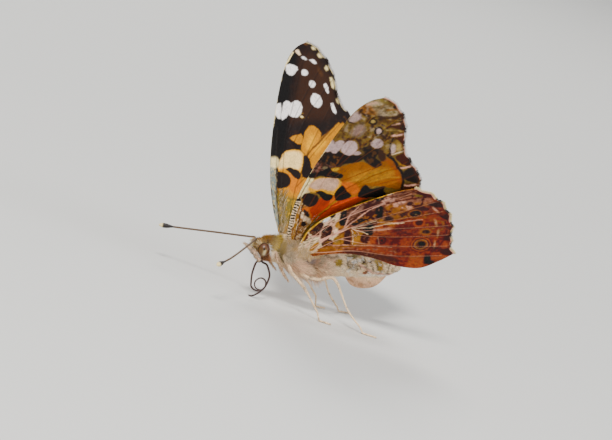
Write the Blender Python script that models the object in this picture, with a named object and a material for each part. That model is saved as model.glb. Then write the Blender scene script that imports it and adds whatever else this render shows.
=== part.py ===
"""Painted lady butterfly at life size, a still model that feeds with its wings half raised.

Lengths in this script are millimetres until build_object scales a mesh to metres.
Body frame: the origin is midway between the wing hinges, X runs backward to the tail,
the butterfly's left is -Y and Z is up from its back. The body is tipped a little about Y,
so that the feet and the tongue's tip rest on the floor, z = 0.
A wing is drawn in its own plane: a runs backward from the hinge, b runs up the wing.
"""
import math

import bmesh
import bpy
from mathutils import Matrix, Vector
from mathutils.geometry import delaunay_2d_cdt

MM = 0.001

# Driving dimensions of the whole insect
HINGE_HEIGHT = 8.7          # the hinges' origin above the floor
BODY_TILT = 6.0             # degrees, tail up
ORIGIN_BACK = 3.41          # the box's centre behind the hinges, along world X
HINGE_SPACING = 3.0         # between the left and right wing planes at the hinges
WING_SPREAD = 29.9          # degrees that each wing leans out from upright
WING_TOE = 6.9              # degrees that the wings open towards the tail

# Wing sheet
MEMBRANE = 0.52
RIDGE = 0.13                # vein height on each face
RIDGE_HALF_WIDTH = 0.42
VEIN_STEP = 1.25
MARGIN_STEP = 0.62
EDGE_STEP = 1.35
FILL_STEP = 2.1
FORE_CAMBER = 0.55
HIND_OFFSET = 1.12          # the hindwing's plane outside the forewing's
FOLD_HEIGHT = 5.0           # the hindwing bends upright below this b
FOLD_BEND = 0.03

# Forewing outline, base to apex to tornus and back
FORE_COSTA = [(-0.7, 0.95), (-1.5, 3.6), (-2.1, 7.2), (-2.3, 11.2), (-2.1, 15.6), (-1.6, 20.2),
              (-0.9, 24.4), (-0.2, 26.6), (0.9, 28.25), (2.4, 29.3)]
FORE_OUTER = [(2.4, 29.3), (3.5, 29.15), (5.0, 28.1), (6.35, 26.6), (7.2, 24.8), (7.85, 22.6), (9.0, 20.8),
              (11.1, 18.8), (12.4, 17.2), (12.9, 15.5)]
FORE_INNER = [(12.9, 15.5), (12.1, 14.2), (8.7, 10.2), (4.6, 5.2), (2.2, 2.3), (1.1, 0.85)]
FORE_LOBES = 9
FORE_LOBE_DEPTH = 0.16
FORE_VEINS = [
    [(-0.75, 2.2), (-1.3, 6.0), (-1.4, 11.0), (-1.35, 16.0)],
    [(0.0, 2.0), (-0.25, 6.0), (-0.2, 11.0), (0.0, 14.6), (0.9, 20.0), (1.7, 24.8), (2.7, 28.2)],
    [(0.9, 20.0), (0.3, 23.2)],
    [(0.0, 14.6), (2.1, 20.0), (4.1, 24.3), (5.5, 26.7)],
    [(1.1, 14.1), (3.3, 18.8), (5.3, 22.2), (6.5, 24.1)],
    [(3.3, 12.7), (5.2, 17.0), (7.3, 21.4)],
    [(2.9, 11.2), (6.3, 15.8), (9.2, 19.4)],
    [(1.8, 7.9), (6.4, 13.0), (11.0, 17.7)],
    [(0.7, 2.0), (1.2, 5.2), (1.8, 7.9), (2.9, 11.2), (3.3, 12.7), (2.3, 13.4), (1.1, 14.1), (0.0, 14.6)],
    [(1.2, 2.3), (3.9, 5.9), (7.9, 10.8), (11.6, 15.6)],
]

# Hindwing outline, base to shoulder to anal angle and back
HIND_COSTA = [(1.3, -0.1), (0.8, 1.6), (1.1, 4.9), (2.6, 7.9), (5.8, 11.5), (9.4, 14.7), (12.0, 16.2)]
HIND_OUTER = [(12.0, 16.2), (14.0, 15.9), (16.4, 14.7), (18.3, 12.9), (19.6, 10.9), (20.4, 8.9),
              (20.9, 7.3), (22.0, 5.8)]
HIND_INNER_LEFT = [(22.0, 5.8), (20.3, 3.9), (18.2, 2.3), (14.8, 1.9), (11.5, 2.3), (8.0, 2.2), (5.2, 1.2),
                   (3.2, -0.2)]
HIND_INNER_RIGHT = [(22.0, 5.8), (20.5, 3.0), (18.2, -1.4), (16.2, -3.5), (12.8, -3.7), (10.2, -1.4),
                    (6.8, 0.5), (3.2, -0.2)]
HIND_LOBES = 6
HIND_LOBE_DEPTH = 0.34
HIND_VEINS = [
    [(1.9, 1.2), (2.4, 4.4), (4.7, 8.2), (8.6, 12.4), (11.9, 15.2)],
    [(2.6, 1.3), (4.3, 4.6), (6.3, 6.9), (9.7, 10.2), (14.9, 14.2)],
    [(6.3, 6.9), (10.6, 9.5), (17.1, 12.9)],
    [(7.2, 6.5), (11.7, 8.4), (18.6, 10.7)],
    [(7.8, 5.7), (12.6, 6.8), (19.6, 8.9)],
    [(5.7, 4.4), (11.2, 4.9), (20.2, 7.1)],
    [(3.0, 1.0), (5.7, 4.4), (7.8, 5.7), (7.2, 6.5), (6.3, 6.9)],
    [(3.5, 0.9), (8.0, 2.9), (14.0, 3.6), (20.4, 5.3)],
]

# Body sections: x, centre height, half width, half height
HEAD = [(-4.75, -0.8, 0.30, 0.35), (-4.55, -0.78, 0.48, 0.55), (-4.2, -0.74, 0.64, 0.84),
        (-3.8, -0.82, 0.78, 1.16), (-3.3, -1.05, 0.84, 1.56), (-2.9, -1.22, 0.84, 1.95),
        (-2.5, -1.2, 0.72, 1.8)]
THORAX = [(-2.2, -1.18, 1.05, 1.75), (-1.85, -1.12, 1.45, 2.1), (-1.1, -1.08, 1.80, 2.22),
          (0.2, -1.2, 2.10, 2.50), (1.6, -1.6, 2.15, 2.40), (2.9, -1.95, 1.95, 2.10),
          (3.8, -2.15, 1.60, 1.65), (4.2, -2.2, 1.20, 1.30)]
ABDOMEN = [(4.5, -2.2, 1.20, 1.30), (5.2, -2.2, 1.60, 1.70), (7.0, -2.05, 1.85, 1.85),
           (9.5, -1.85, 1.90, 1.75), (12.0, -1.7, 1.85, 1.65), (14.2, -1.6, 1.60, 1.50),
           (15.8, -1.4, 1.20, 1.15), (16.9, -1.2, 0.75, 0.75), (17.5, -1.1, 0.32, 0.35)]
BODY_SIDES = 24
SEGMENT_LENGTH = 1.55       # of one abdomen ring
SEGMENT_SWELL = 0.035

# Eyes
EYE_CENTRE = (-3.25, 1.14, -1.27)
EYE_HALF = (0.86, 0.66, 0.97)

# Round limbs: path in the body frame for the left side (y mirrored for the right), and radii
PALP_PATH = [(-3.5, -0.6, -2.85), (-3.84, -0.6, -2.42), (-4.51, -0.58, -1.8), (-5.29, -0.54, -1.33),
             (-5.85, -0.5, -1.12), (-6.65, -0.46, -0.74)]
PALP_RADII = [0.24, 0.32, 0.36, 0.34, 0.25, 0.1]
ANTENNA_LEFT = [(-4.62, -0.45, 0.0), (-5.3, -1.5, -0.12), (-7.08, -4.0, -0.56), (-10.24, -7.7, -1.5),
                (-12.92, -10.3, -2.11)]
ANTENNA_RIGHT = [(-4.62, 0.45, 0.0), (-5.35, 1.5, -0.3), (-8.38, 5.0, -1.22), (-13.0, 8.3, -2.15),
                 (-15.33, 9.4, -2.41)]
ANTENNA_RADIUS = 0.25
CLUB_RADIUS = 0.43
CLUB_LENGTH = 2.0
FORELEG_PATH = [(-1.85, -2.12, -1.25), (-1.3, -2.65, -2.5), (-0.35, -2.95, -3.8), (0.6, -2.85, -4.75)]
FORELEG_RADII = [0.26, 0.33, 0.28, 0.14]
LEG_RADIUS = 0.26
MIDLEG_LEFT = [(0.6, -2.1, -3.3), (1.4, -3.0, -3.95), (2.75, -4.0, -5.13), (5.3, -4.2, -8.15)]
MIDLEG_RIGHT = [(0.6, 2.2, -3.35), (2.0, 3.0, -4.0), (5.2, 3.9, -5.2), (7.9, 4.2, -7.9)]
HINDLEG = [(2.9, -1.65, -3.95), (5.16, -1.9, -4.05), (7.14, -3.0, -3.46), (9.61, -4.0, -7.14),
           (11.71, -5.0, -9.2)]
FOOT_RADIUS = 0.25
FLAT_DROP = 0.21            # the foot's centre line above the floor
MIDFOOT_LENGTH = 2.3
HINDFOOT_LENGTH = 2.6
FOOT_SPLAY = 16.0           # degrees that a foot points outward

# Tongue: the left half ends in a coil, the right half reaches down to the floor
GALEA_LEFT_PATH = [(-3.1, -0.3, -3.2), (-3.62, -0.32, -3.47), (-3.92, -0.42, -4.4), (-3.95, -0.45, -5.27),
                   (-3.78, -0.5, -6.5)]
COIL_CENTRE = (-2.69, -6.13)
COIL_RADII = (1.18, 0.78)
COIL_START = -160.0         # degrees, in the XZ plane
COIL_TURN = 450.0
COIL_SLIDE = 0.95           # sideways, so that the turns pass each other
GALEA_RIGHT_PATH = [(-2.75, 0.42, -3.5), (-1.85, 0.45, -3.7), (-1.4, 0.45, -4.25), (-1.05, 0.42, -5.1),
                    (-1.15, 0.4, -6.1), (-1.45, 0.4, -7.0), (-2.15, 0.4, -7.8)]
GALEA_RADIUS = 0.25
TONGUE_TIP_LENGTH = 1.3


def body_to_world(point):
    """Body frame to the frame of the floor, both in millimetres."""
    tilt = math.radians(BODY_TILT)
    x, y, z = point
    forward = x * math.cos(tilt) - z * math.sin(tilt)
    height = x * math.sin(tilt) + z * math.cos(tilt)
    return Vector((forward - ORIGIN_BACK, y, height + HINGE_HEIGHT))


def curve(points, step):
    """Smooth curve through the points, resampled at about the step."""
    pts = [Vector(p) for p in points]
    ends = [2 * pts[0] - pts[1]] + pts + [2 * pts[-1] - pts[-2]]
    dense = []
    for i in range(1, len(ends) - 2):
        p0, p1, p2, p3 = ends[i - 1:i + 3]
        for k in range(16):
            t = k / 16
            dense.append(0.5 * (2 * p1 + (p2 - p0) * t + (2 * p0 - 5 * p1 + 4 * p2 - p3) * t ** 2
                                + (3 * p1 - p0 - 3 * p2 + p3) * t ** 3))
    dense.append(pts[-1])
    lengths = [0.0]
    for p, q in zip(dense, dense[1:]):
        lengths.append(lengths[-1] + (q - p).length)
    count = max(1, round(lengths[-1] / step))
    out = []
    j = 0
    for k in range(count + 1):
        want = lengths[-1] * k / count
        while j < len(lengths) - 2 and lengths[j + 1] < want:
            j += 1
        span = lengths[j + 1] - lengths[j]
        t = 0.0 if span == 0 else (want - lengths[j]) / span
        out.append(dense[j].lerp(dense[j + 1], min(1.0, t)))
    return out


def scalloped(points, lobes, depth):
    """Outer margin with a small tooth at each vein end."""
    out = []
    last = len(points) - 1
    for i, p in enumerate(points):
        along = points[min(i + 1, last)] - points[max(i - 1, 0)]
        outward = Vector((-along.y, along.x)).normalized()
        tooth = 1 - abs(math.sin(math.pi * lobes * i / last))
        if 0 < i < last:
            p = p + outward * depth * (tooth - 0.5)
        out.append(p)
    return out


def distance_to_path(p, path):
    best = 1e9
    for q, r in zip(path, path[1:]):
        d = r - q
        t = max(0.0, min(1.0, (p - q).dot(d) / d.length_squared))
        best = min(best, (p - q - d * t).length)
    return best


def make_material(name, colour, roughness, metallic=0.0):
    mat = bpy.data.materials.new(name)
    mat.use_nodes = True
    shader = mat.node_tree.nodes["Principled BSDF"]
    shader.inputs["Base Color"].default_value = (*colour, 1.0)
    shader.inputs["Roughness"].default_value = roughness
    shader.inputs["Metallic"].default_value = metallic
    mat.diffuse_color = (*colour, 1.0)
    return mat


def build_object(name, bm, mat, sharp_angle=40.0):
    """Close the mesh's normals, scale it to metres and make it a node."""
    bmesh.ops.recalc_face_normals(bm, faces=bm.faces)
    bmesh.ops.triangulate(bm, faces=bm.faces)
    bmesh.ops.scale(bm, vec=(MM, MM, MM), verts=bm.verts)
    mesh = bpy.data.meshes.new(name)
    bm.to_mesh(mesh)
    bm.free()
    mesh.shade_smooth()
    mesh.set_sharp_from_angle(angle=math.radians(sharp_angle))
    mesh.materials.append(mat)
    obj = bpy.data.objects.new(name, mesh)
    bpy.context.scene.collection.objects.link(obj)
    return obj


def add_ring(bm, centre, frame, radii, sides, power=1.0):
    """One ring of a loft or tube: frame is the rotation whose local Z runs along the piece."""
    place = Matrix.Translation(centre) @ frame.to_4x4()
    ring = bmesh.ops.create_circle(bm, segments=sides, radius=1.0, cap_ends=False)["verts"]
    for v in ring:
        x = math.copysign(abs(v.co.x) ** power, v.co.x) * radii[0]
        y = math.copysign(abs(v.co.y) ** power, v.co.y) * radii[1]
        v.co = place @ Vector((x, y, 0.0))
    return ring


def bridge_rings(bm, rings):
    for ring, following in zip(rings, rings[1:]):
        for i, v in enumerate(ring):
            j = (i + 1) % len(ring)
            bm.faces.new((v, ring[j], following[j], following[i]))
    bm.faces.new(rings[0])
    bm.faces.new(rings[-1])


def loft(sections, power=1.0):
    """Body solid from upright sections along X."""
    bm = bmesh.new()
    upright = Matrix(((0, 0, 1), (1, 0, 0), (0, 1, 0)))
    rings = []
    for x, centre, half_width, half_height in sections:
        middle = Vector((x, 0, centre))
        rings.append(add_ring(bm, middle, upright, (half_width, half_height), BODY_SIDES, power))
    bridge_rings(bm, rings)
    for v in bm.verts:
        v.co = body_to_world(v.co)
    return bm


def abdomen_sections():
    """The abdomen's sections, resampled with a slight swell in each body ring."""
    path = curve([(x, c, w, h) for x, c, w, h in ABDOMEN], SEGMENT_LENGTH / 3)
    start = path[0][0]
    out = []
    for x, c, w, h in path:
        swell = 1 + SEGMENT_SWELL * (abs(math.sin(math.pi * (x - start) / SEGMENT_LENGTH)) - 0.6)
        out.append((x, c, w * swell, h * swell))
    return out


def tube(path, radii, sides=10):
    """Round limb along a path of world points, with one radius for each point."""
    bm = bmesh.new()
    rings = []
    side = None
    for i, p in enumerate(path):
        along = (path[min(i + 1, len(path) - 1)] - path[max(i - 1, 0)]).normalized()
        if side is None:
            side = along.cross(Vector((0, 0, 1))).normalized()
        side = (side - along * side.dot(along)).normalized()
        frame = Matrix((side, along.cross(side), along)).transposed()
        rings.append(add_ring(bm, p, frame, (radii[i], radii[i]), sides))
    bridge_rings(bm, rings)
    for v in bm.verts:
        v.co.z = max(v.co.z, 0.0)
    return bm


def graded_tube(points, radii, step, sides=10):
    """Tube whose few given radii are spread along a smooth path."""
    path = curve(points, step)
    out = []
    for i in range(len(path)):
        t = i / (len(path) - 1) * (len(radii) - 1)
        k = min(int(t), len(radii) - 2)
        out.append(radii[k] + (radii[k + 1] - radii[k]) * (t - k))
    return tube(path, out, sides)


def mirrored(points, side):
    """The left-hand path as it is, or mirrored for the right."""
    return [(x, y if side == "left" else -y, z) for x, y, z in points]


def leg(path, foot_length, side):
    """Leg down to its flat foot, which lies on the floor and points backward."""
    points = [body_to_world(p) for p in path]
    out = -1 if side == "left" else 1
    heading = Vector((math.cos(math.radians(FOOT_SPLAY)), out * math.sin(math.radians(FOOT_SPLAY)), 0))
    ankle = points[-1]
    heel = Vector((ankle.x, ankle.y, FLAT_DROP)) + heading * 0.55
    toe = heel + heading * (foot_length - 0.55)
    upper = curve(points, 1.3)
    whole = upper + [heel, toe]
    joint_radii = []
    for i in range(len(upper)):
        t = i / (len(upper) - 1)
        joint_radii.append(LEG_RADIUS * (1.25 - 0.3 * t))
    return tube(whole, joint_radii + [FOOT_RADIUS, FOOT_RADIUS * 0.9])


def coil_path():
    """Left half of the tongue: down, then round the coil."""
    points = [Vector(p) for p in GALEA_LEFT_PATH]
    turns = 20
    for i in range(turns + 1):
        t = i / turns
        angle = math.radians(COIL_START + COIL_TURN * t)
        radius = COIL_RADII[0] + (COIL_RADII[1] - COIL_RADII[0]) * min(1.0, 1.6 * t)
        points.append(Vector((COIL_CENTRE[0] + radius * math.cos(angle), -0.5 - COIL_SLIDE * t,
                              COIL_CENTRE[1] + radius * math.sin(angle))))
    return points


def wing_frame(side):
    """Origin, backward, upward and outward directions of a wing's plane in the body frame."""
    sign = -1 if side == "left" else 1
    spread = math.radians(WING_SPREAD)
    toe = math.radians(WING_TOE)
    up = Vector((0, sign * math.sin(spread), math.cos(spread)))
    back = Vector((math.cos(toe), sign * math.sin(toe), 0))
    back = (back - up * back.dot(up)).normalized()
    outward = back.cross(up).normalized()
    if outward.y * sign < 0:
        outward = -outward
    return Vector((0, sign * HINGE_SPACING / 2, 0)), back, up, outward


def fore_lift(a, b):
    """Camber of the forewing, outward from its plane."""
    return FORE_CAMBER * math.sin(math.pi * min(1.0, b / 30)) * (1 - ((a - 4) / 12) ** 2)


def hind_lift(a, b):
    """The hindwing lies outside the forewing and bends upright beside the abdomen."""
    below = max(0.0, FOLD_HEIGHT - b)
    blend = max(0.0, min(1.0, (a - 3.0) / 5.0))
    return HIND_OFFSET + fore_lift(a, max(b, 0.0)) + FOLD_BEND * below ** 2 * blend


def wing_points(outline, veins):
    """Vertices and fixed edges for the sheet: outline, vein crests, their flanks, then fill."""
    pts = list(outline)
    edges = [(i, (i + 1) % len(outline)) for i in range(len(outline))]
    closed = outline + [outline[0]]
    crests = [curve(v, VEIN_STEP) for v in veins]

    def clear(p, gap, others):
        return all((p - q).length > gap for q in others)

    for crest in crests:
        previous = None
        for p in crest:
            near = [i for i, q in enumerate(pts) if i >= len(outline) and (p - q).length < 0.4]
            if near:
                index = near[0]
            elif distance_to_path(p, closed) > 0.45:
                pts.append(p)
                index = len(pts) - 1
            else:
                index = None
            if previous is not None and index is not None and index != previous:
                edges.append((previous, index))
            previous = index
    flanks = []
    for k, crest in enumerate(crests):
        for i in range(len(crest) - 1):
            middle = (crest[i] + crest[i + 1]) / 2
            along = (crest[i + 1] - crest[i]).normalized()
            for sign in (-1, 1):
                p = middle + Vector((-along.y, along.x)) * sign * RIDGE_HALF_WIDTH
                others = min(distance_to_path(p, other) for other in crests)
                if others > RIDGE_HALF_WIDTH * 0.95 and distance_to_path(p, closed) > 0.4:
                    if clear(p, 0.4, pts):
                        flanks.append(p)
                        pts.append(p)
    low = Vector((min(p.x for p in outline), min(p.y for p in outline)))
    high = Vector((max(p.x for p in outline), max(p.y for p in outline)))
    row = 0
    y = low.y
    while y < high.y:
        x = low.x + (row % 2) * FILL_STEP / 2
        while x < high.x:
            p = Vector((x, y))
            if distance_to_path(p, closed) > 0.8 and clear(p, 1.0, pts):
                pts.append(p)
            x += FILL_STEP
        y += FILL_STEP * 0.87
        row += 1
    return pts, edges, crests


def wing(side, costa, outer, inner, lobes, lobe_depth, veins, lift):
    """Closed sheet with veins raised in both faces, in world millimetres."""
    margin = scalloped(curve(outer, MARGIN_STEP), lobes, lobe_depth)
    outline = curve(costa, EDGE_STEP)[:-1] + margin[:-1] + curve(inner, EDGE_STEP)
    pts, edges, crests = wing_points(outline, veins)
    flat, _, faces, _, _, _ = delaunay_2d_cdt(pts, edges, [list(range(len(outline)))], 1, 1e-5)
    origin, back, up, outward = wing_frame(side)
    closed = outline + [outline[0]]
    bm = bmesh.new()
    sheets = ([], [])
    for p in flat:
        on_edge = min(1.0, distance_to_path(p, closed) / 0.4)
        crest = min(distance_to_path(p, path) for path in crests)
        rise = RIDGE * max(0.0, 1 - crest / RIDGE_HALF_WIDTH) * on_edge
        half = MEMBRANE / 2 + rise
        middle = origin + back * p.x + up * p.y + outward * lift(p.x, p.y)
        for sheet, sign in zip(sheets, (1, -1)):
            sheet.append(bm.verts.new(body_to_world(middle + outward * half * sign)))
    border = {}
    for f in faces:
        bm.faces.new([sheets[0][i] for i in f])
        bm.faces.new([sheets[1][i] for i in reversed(f)])
        for i, j in zip(f, f[1:] + f[:1]):
            if (j, i) in border:
                del border[(j, i)]
            else:
                border[(i, j)] = True
    for i, j in border:
        bm.faces.new((sheets[0][j], sheets[0][i], sheets[1][i], sheets[1][j]))
    return bm


def eye(side):
    """Flattened half globe whose flat back faces the head."""
    sign = -1 if side == "left" else 1
    bm = bmesh.new()
    bmesh.ops.create_uvsphere(bm, u_segments=20, v_segments=12, radius=1.0)
    everything = bm.verts[:] + bm.edges[:] + bm.faces[:]
    cut = bmesh.ops.bisect_plane(bm, geom=everything, plane_co=(0, 0, 0), plane_no=(0, sign, 0),
                                 clear_inner=True, dist=1e-5)
    rim = [e for e in cut["geom_cut"] if isinstance(e, bmesh.types.BMEdge)]
    bmesh.ops.contextual_create(bm, geom=rim)
    x, y, z = EYE_CENTRE
    for v in bm.verts:
        local = Vector((v.co.x * EYE_HALF[0], v.co.y * EYE_HALF[1], v.co.z * EYE_HALF[2]))
        v.co = body_to_world(local + Vector((x, sign * y, z)))
    return bm


def antenna(points):
    """Thin feeler with its club at the end."""
    path = [body_to_world(p) for p in curve(points, 1.1)]
    tip = path[-1]
    heading = (path[-1] - path[-2]).normalized()
    path = [p for p in path if (p - tip).length > CLUB_LENGTH]
    radii = [ANTENNA_RADIUS] * len(path)
    for back, radius in ((1.7, 0.3), (1.3, 0.39), (0.8, CLUB_RADIUS), (0.35, 0.36), (0.0, 0.16)):
        path.append(tip - heading * back)
        radii.append(radius)
    return tube(path, radii)


def main():
    for obj in list(bpy.data.objects):
        bpy.data.objects.remove(obj)
    hair = make_material("body_hair", (0.42, 0.36, 0.27), 0.85)
    belly = make_material("abdomen_scales", (0.62, 0.55, 0.40), 0.8)
    eye_brown = make_material("eye_surface", (0.36, 0.24, 0.12), 0.25)
    palp_pink = make_material("palp_scales", (0.62, 0.50, 0.46), 0.8)
    feeler = make_material("feeler_cuticle", (0.16, 0.12, 0.10), 0.6)
    tongue = make_material("tongue_cuticle", (0.16, 0.04, 0.02), 0.4)
    cream = make_material("leg_scales", (0.72, 0.60, 0.48), 0.7)
    orange = make_material("forewing_scales", (0.62, 0.24, 0.05), 0.75)
    brown = make_material("hindwing_scales", (0.40, 0.22, 0.12), 0.75)

    build_object("head", loft(HEAD, 0.85), hair)
    build_object("thorax", loft(THORAX), hair)
    build_object("abdomen", loft(abdomen_sections()), belly)
    build_object("galea_left", graded_tube([body_to_world(p) for p in coil_path()],
                                           [GALEA_RADIUS, 0.24, 0.21, 0.16, 0.11], 0.5, 8), tongue)
    tongue_points = [body_to_world(p) for p in GALEA_RIGHT_PATH]
    lowest = tongue_points[-1]
    for step_forward in (0.75, TONGUE_TIP_LENGTH):
        tongue_points.append(Vector((lowest.x - step_forward, lowest.y, FLAT_DROP * 0.8)))
    build_object("galea_right", graded_tube(tongue_points, [GALEA_RADIUS, 0.24, 0.22, 0.18], 0.55, 8), tongue)
    sides = (("left", ANTENNA_LEFT, MIDLEG_LEFT), ("right", ANTENNA_RIGHT, MIDLEG_RIGHT))
    for side, antenna_points, midleg in sides:
        build_object("eye_" + side, eye(side), eye_brown)
        palp = [body_to_world(p) for p in mirrored(PALP_PATH, side)]
        build_object("palp_" + side, graded_tube(palp, PALP_RADII, 0.6), palp_pink)
        build_object("antenna_" + side, antenna(antenna_points), feeler)
        foreleg = [body_to_world(p) for p in mirrored(FORELEG_PATH, side)]
        build_object("foreleg_" + side, graded_tube(foreleg, FORELEG_RADII, 0.7), cream)
        build_object("midleg_" + side, leg(midleg, MIDFOOT_LENGTH, side), cream)
        build_object("hindleg_" + side, leg(mirrored(HINDLEG, side), HINDFOOT_LENGTH, side), cream)
        build_object("forewing_" + side, wing(side, FORE_COSTA, FORE_OUTER, FORE_INNER, FORE_LOBES,
                                              FORE_LOBE_DEPTH, FORE_VEINS, fore_lift), orange)
        hind_inner = HIND_INNER_LEFT if side == "left" else HIND_INNER_RIGHT
        build_object("hindwing_" + side, wing(side, HIND_COSTA, HIND_OUTER, hind_inner, HIND_LOBES,
                                              HIND_LOBE_DEPTH, HIND_VEINS, hind_lift), brown)


if __name__ == "__main__":
    main()
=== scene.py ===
"""Painted lady butterfly at life size: scaled wings, furred body, limbs and a studio stage.

Lengths are millimetres until a mesh is finished; then it is scaled to metres.
Body frame: the origin is midway between the wing hinges, X runs backward to the tail, the
butterfly's left is -Y and Z is up from its back. A wing's plan has a running backward from
the hinge and b running up the wing. The upper side of a raised wing faces inward.
"""
import math
from types import SimpleNamespace

import bmesh
import bpy
import numpy as np
from mathutils import Matrix, Vector


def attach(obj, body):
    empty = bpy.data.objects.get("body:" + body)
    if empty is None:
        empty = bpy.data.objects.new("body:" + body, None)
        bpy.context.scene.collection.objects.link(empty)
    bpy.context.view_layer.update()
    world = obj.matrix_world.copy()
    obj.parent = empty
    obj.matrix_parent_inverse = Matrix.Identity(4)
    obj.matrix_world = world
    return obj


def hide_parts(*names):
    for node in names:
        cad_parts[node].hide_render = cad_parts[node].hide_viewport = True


bl_info = {
    "name": "Painted Lady Butterfly",
    "version": (1, 0, 0),
    "blender": (4, 5, 0),
    "location": "View3D > Sidebar > Painted Lady",
    "description": "Models a resting painted lady butterfly, scale by scale",
    "category": "Add Mesh",
}

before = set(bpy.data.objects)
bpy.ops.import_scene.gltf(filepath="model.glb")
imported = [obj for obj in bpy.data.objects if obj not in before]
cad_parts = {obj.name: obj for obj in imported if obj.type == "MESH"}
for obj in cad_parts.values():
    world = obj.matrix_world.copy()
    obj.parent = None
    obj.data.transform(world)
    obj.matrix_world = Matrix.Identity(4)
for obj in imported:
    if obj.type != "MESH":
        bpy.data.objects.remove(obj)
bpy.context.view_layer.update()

MM = 0.001

# Stance, as in the solids
HINGE_HEIGHT = 8.7
BODY_TILT = math.radians(6.0)
ORIGIN_BACK = 3.41
HINGE_SPACING = 3.0
WING_SPREAD = math.radians(29.9)
WING_TOE = math.radians(6.9)
FORE_CAMBER = 0.55
HIND_OFFSET = 0.95
FOLD_HEIGHT = 5.0
FOLD_BEND = 0.03

# Camera, placed in the body frame
VIEW_AZIMUTH = math.radians(-21.7)
VIEW_HEIGHT = math.radians(11.85)
VIEW_ROLL = math.radians(13.52)
VIEW_DISTANCE = 470.0
VIEW_SHIFT = (2.76, 3.087)  # right and up
LENS = 201.0
SENSOR = 36.0

# Lights and floor, in metres of the floor's frame: name, place, width, power and colour of a light
LIGHT_TARGET = (0.0, 0.0, 0.012)
LIGHTS = (
    ("key_light", (-0.34, -0.46, 0.62), 0.22, 10.0, (1.0, 0.975, 0.94)),
    ("fill_light", (0.55, -0.35, 0.30), 0.50, 2.2, (0.93, 0.96, 1.0)),
    ("back_light", (0.10, 0.55, 0.55), 0.35, 4.0, (1.0, 0.98, 0.94)),
)
SKY_COLOUR = (0.86, 0.90, 0.95, 1.0)
SKY_STRENGTH = 0.36
FLOOR_REACH = 3.0

# Forewing plan
FORE_COSTA = [(-0.7, 0.95), (-1.5, 3.6), (-2.1, 7.2), (-2.3, 11.2), (-2.1, 15.6), (-1.6, 20.2),
              (-0.9, 24.4), (-0.2, 26.6), (0.9, 28.25), (2.4, 29.3)]
FORE_OUTER = [(2.4, 29.3), (3.5, 29.15), (5.0, 28.1), (6.35, 26.6), (7.2, 24.8), (7.85, 22.6), (9.0, 20.8),
              (11.1, 18.8), (12.4, 17.2), (12.9, 15.5)]
FORE_INNER = [(12.9, 15.5), (12.1, 14.2), (8.7, 10.2), (4.6, 5.2), (2.2, 2.3), (1.1, 0.85)]
FORE_LOBES = 9
FORE_LOBE_DEPTH = 0.16
FORE_VEINS = [
    [(-0.75, 2.2), (-1.3, 6.0), (-1.4, 11.0), (-1.35, 16.0)],
    [(0.0, 2.0), (-0.25, 6.0), (-0.2, 11.0), (0.0, 14.6), (0.9, 20.0), (1.7, 24.8), (2.7, 28.2)],
    [(0.9, 20.0), (0.3, 23.2)],
    [(0.0, 14.6), (2.1, 20.0), (4.1, 24.3), (5.5, 26.7), (6.0, 27.2)],
    [(1.1, 14.1), (3.3, 18.8), (5.3, 22.2), (6.5, 24.1), (7.3, 25.0)],
    [(3.3, 12.7), (5.2, 17.0), (7.3, 21.4), (7.9, 22.8)],
    [(2.9, 11.2), (6.3, 15.8), (9.2, 19.4), (9.8, 20.1)],
    [(1.8, 7.9), (6.4, 13.0), (11.0, 17.7), (11.7, 18.3)],
    [(0.7, 2.0), (1.2, 5.2), (1.8, 7.9), (2.9, 11.2), (3.3, 12.7), (2.3, 13.4), (1.1, 14.1), (0.0, 14.6)],
    [(1.2, 2.3), (3.9, 5.9), (7.9, 10.8), (11.6, 15.6), (12.4, 16.6)],
]

# Hindwing plan
HIND_COSTA = [(1.3, -0.1), (0.8, 1.6), (1.1, 4.9), (2.6, 7.9), (5.8, 11.5), (9.4, 14.7), (12.0, 16.2)]
HIND_OUTER = [(12.0, 16.2), (14.0, 15.9), (16.4, 14.7), (18.3, 12.9), (19.6, 10.9), (20.4, 8.9),
              (20.9, 7.3), (22.0, 5.8)]
HIND_INNER_LEFT = [(22.0, 5.8), (20.3, 3.9), (18.2, 2.3), (14.8, 1.9), (11.5, 2.3), (8.0, 2.2),
                   (5.2, 1.2), (3.2, -0.2)]
HIND_INNER_RIGHT = [(22.0, 5.8), (20.5, 3.0), (18.2, -1.4), (16.2, -3.5), (12.8, -3.7), (10.2, -1.4),
                    (6.8, 0.5), (3.2, -0.2)]
HIND_LOBES = 6
HIND_LOBE_DEPTH = 0.34
HIND_VEINS = [
    [(1.9, 1.2), (2.4, 4.4), (4.7, 8.2), (8.6, 12.4), (11.9, 15.2)],
    [(2.6, 1.3), (4.3, 4.6), (6.3, 6.9), (9.7, 10.2), (14.9, 14.2), (16.0, 14.8)],
    [(6.3, 6.9), (10.6, 9.5), (17.1, 12.9), (18.0, 13.2)],
    [(7.2, 6.5), (11.7, 8.4), (18.6, 10.7), (19.6, 11.0)],
    [(7.8, 5.7), (12.6, 6.8), (19.6, 8.9), (20.4, 9.2)],
    [(5.7, 4.4), (11.2, 4.9), (20.2, 7.1), (21.0, 7.3)],
    [(3.0, 1.0), (5.7, 4.4), (7.8, 5.7), (7.2, 6.5), (6.3, 6.9)],
    [(3.5, 0.9), (8.0, 2.9), (14.0, 3.6), (20.4, 5.3)],
]

# Wing sheet
LENGTH_CELLS = 270
WIDTH_CELLS = 150
PLEAT = 0.11
PLEAT_REACH = 0.75
VEIN_REACH = 0.13
CONTRAST = 1.17             # of the hindwing's underside
CONTRAST_MIDDLE = 0.1
FRINGE_DENSITY = 62         # tufts to a millimetre
PLAN_SPAN = 40.0            # millimetres across the plan's UV map
SATURATION = 1.3            # of a pigment, as far as its weakest channel allows

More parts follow.
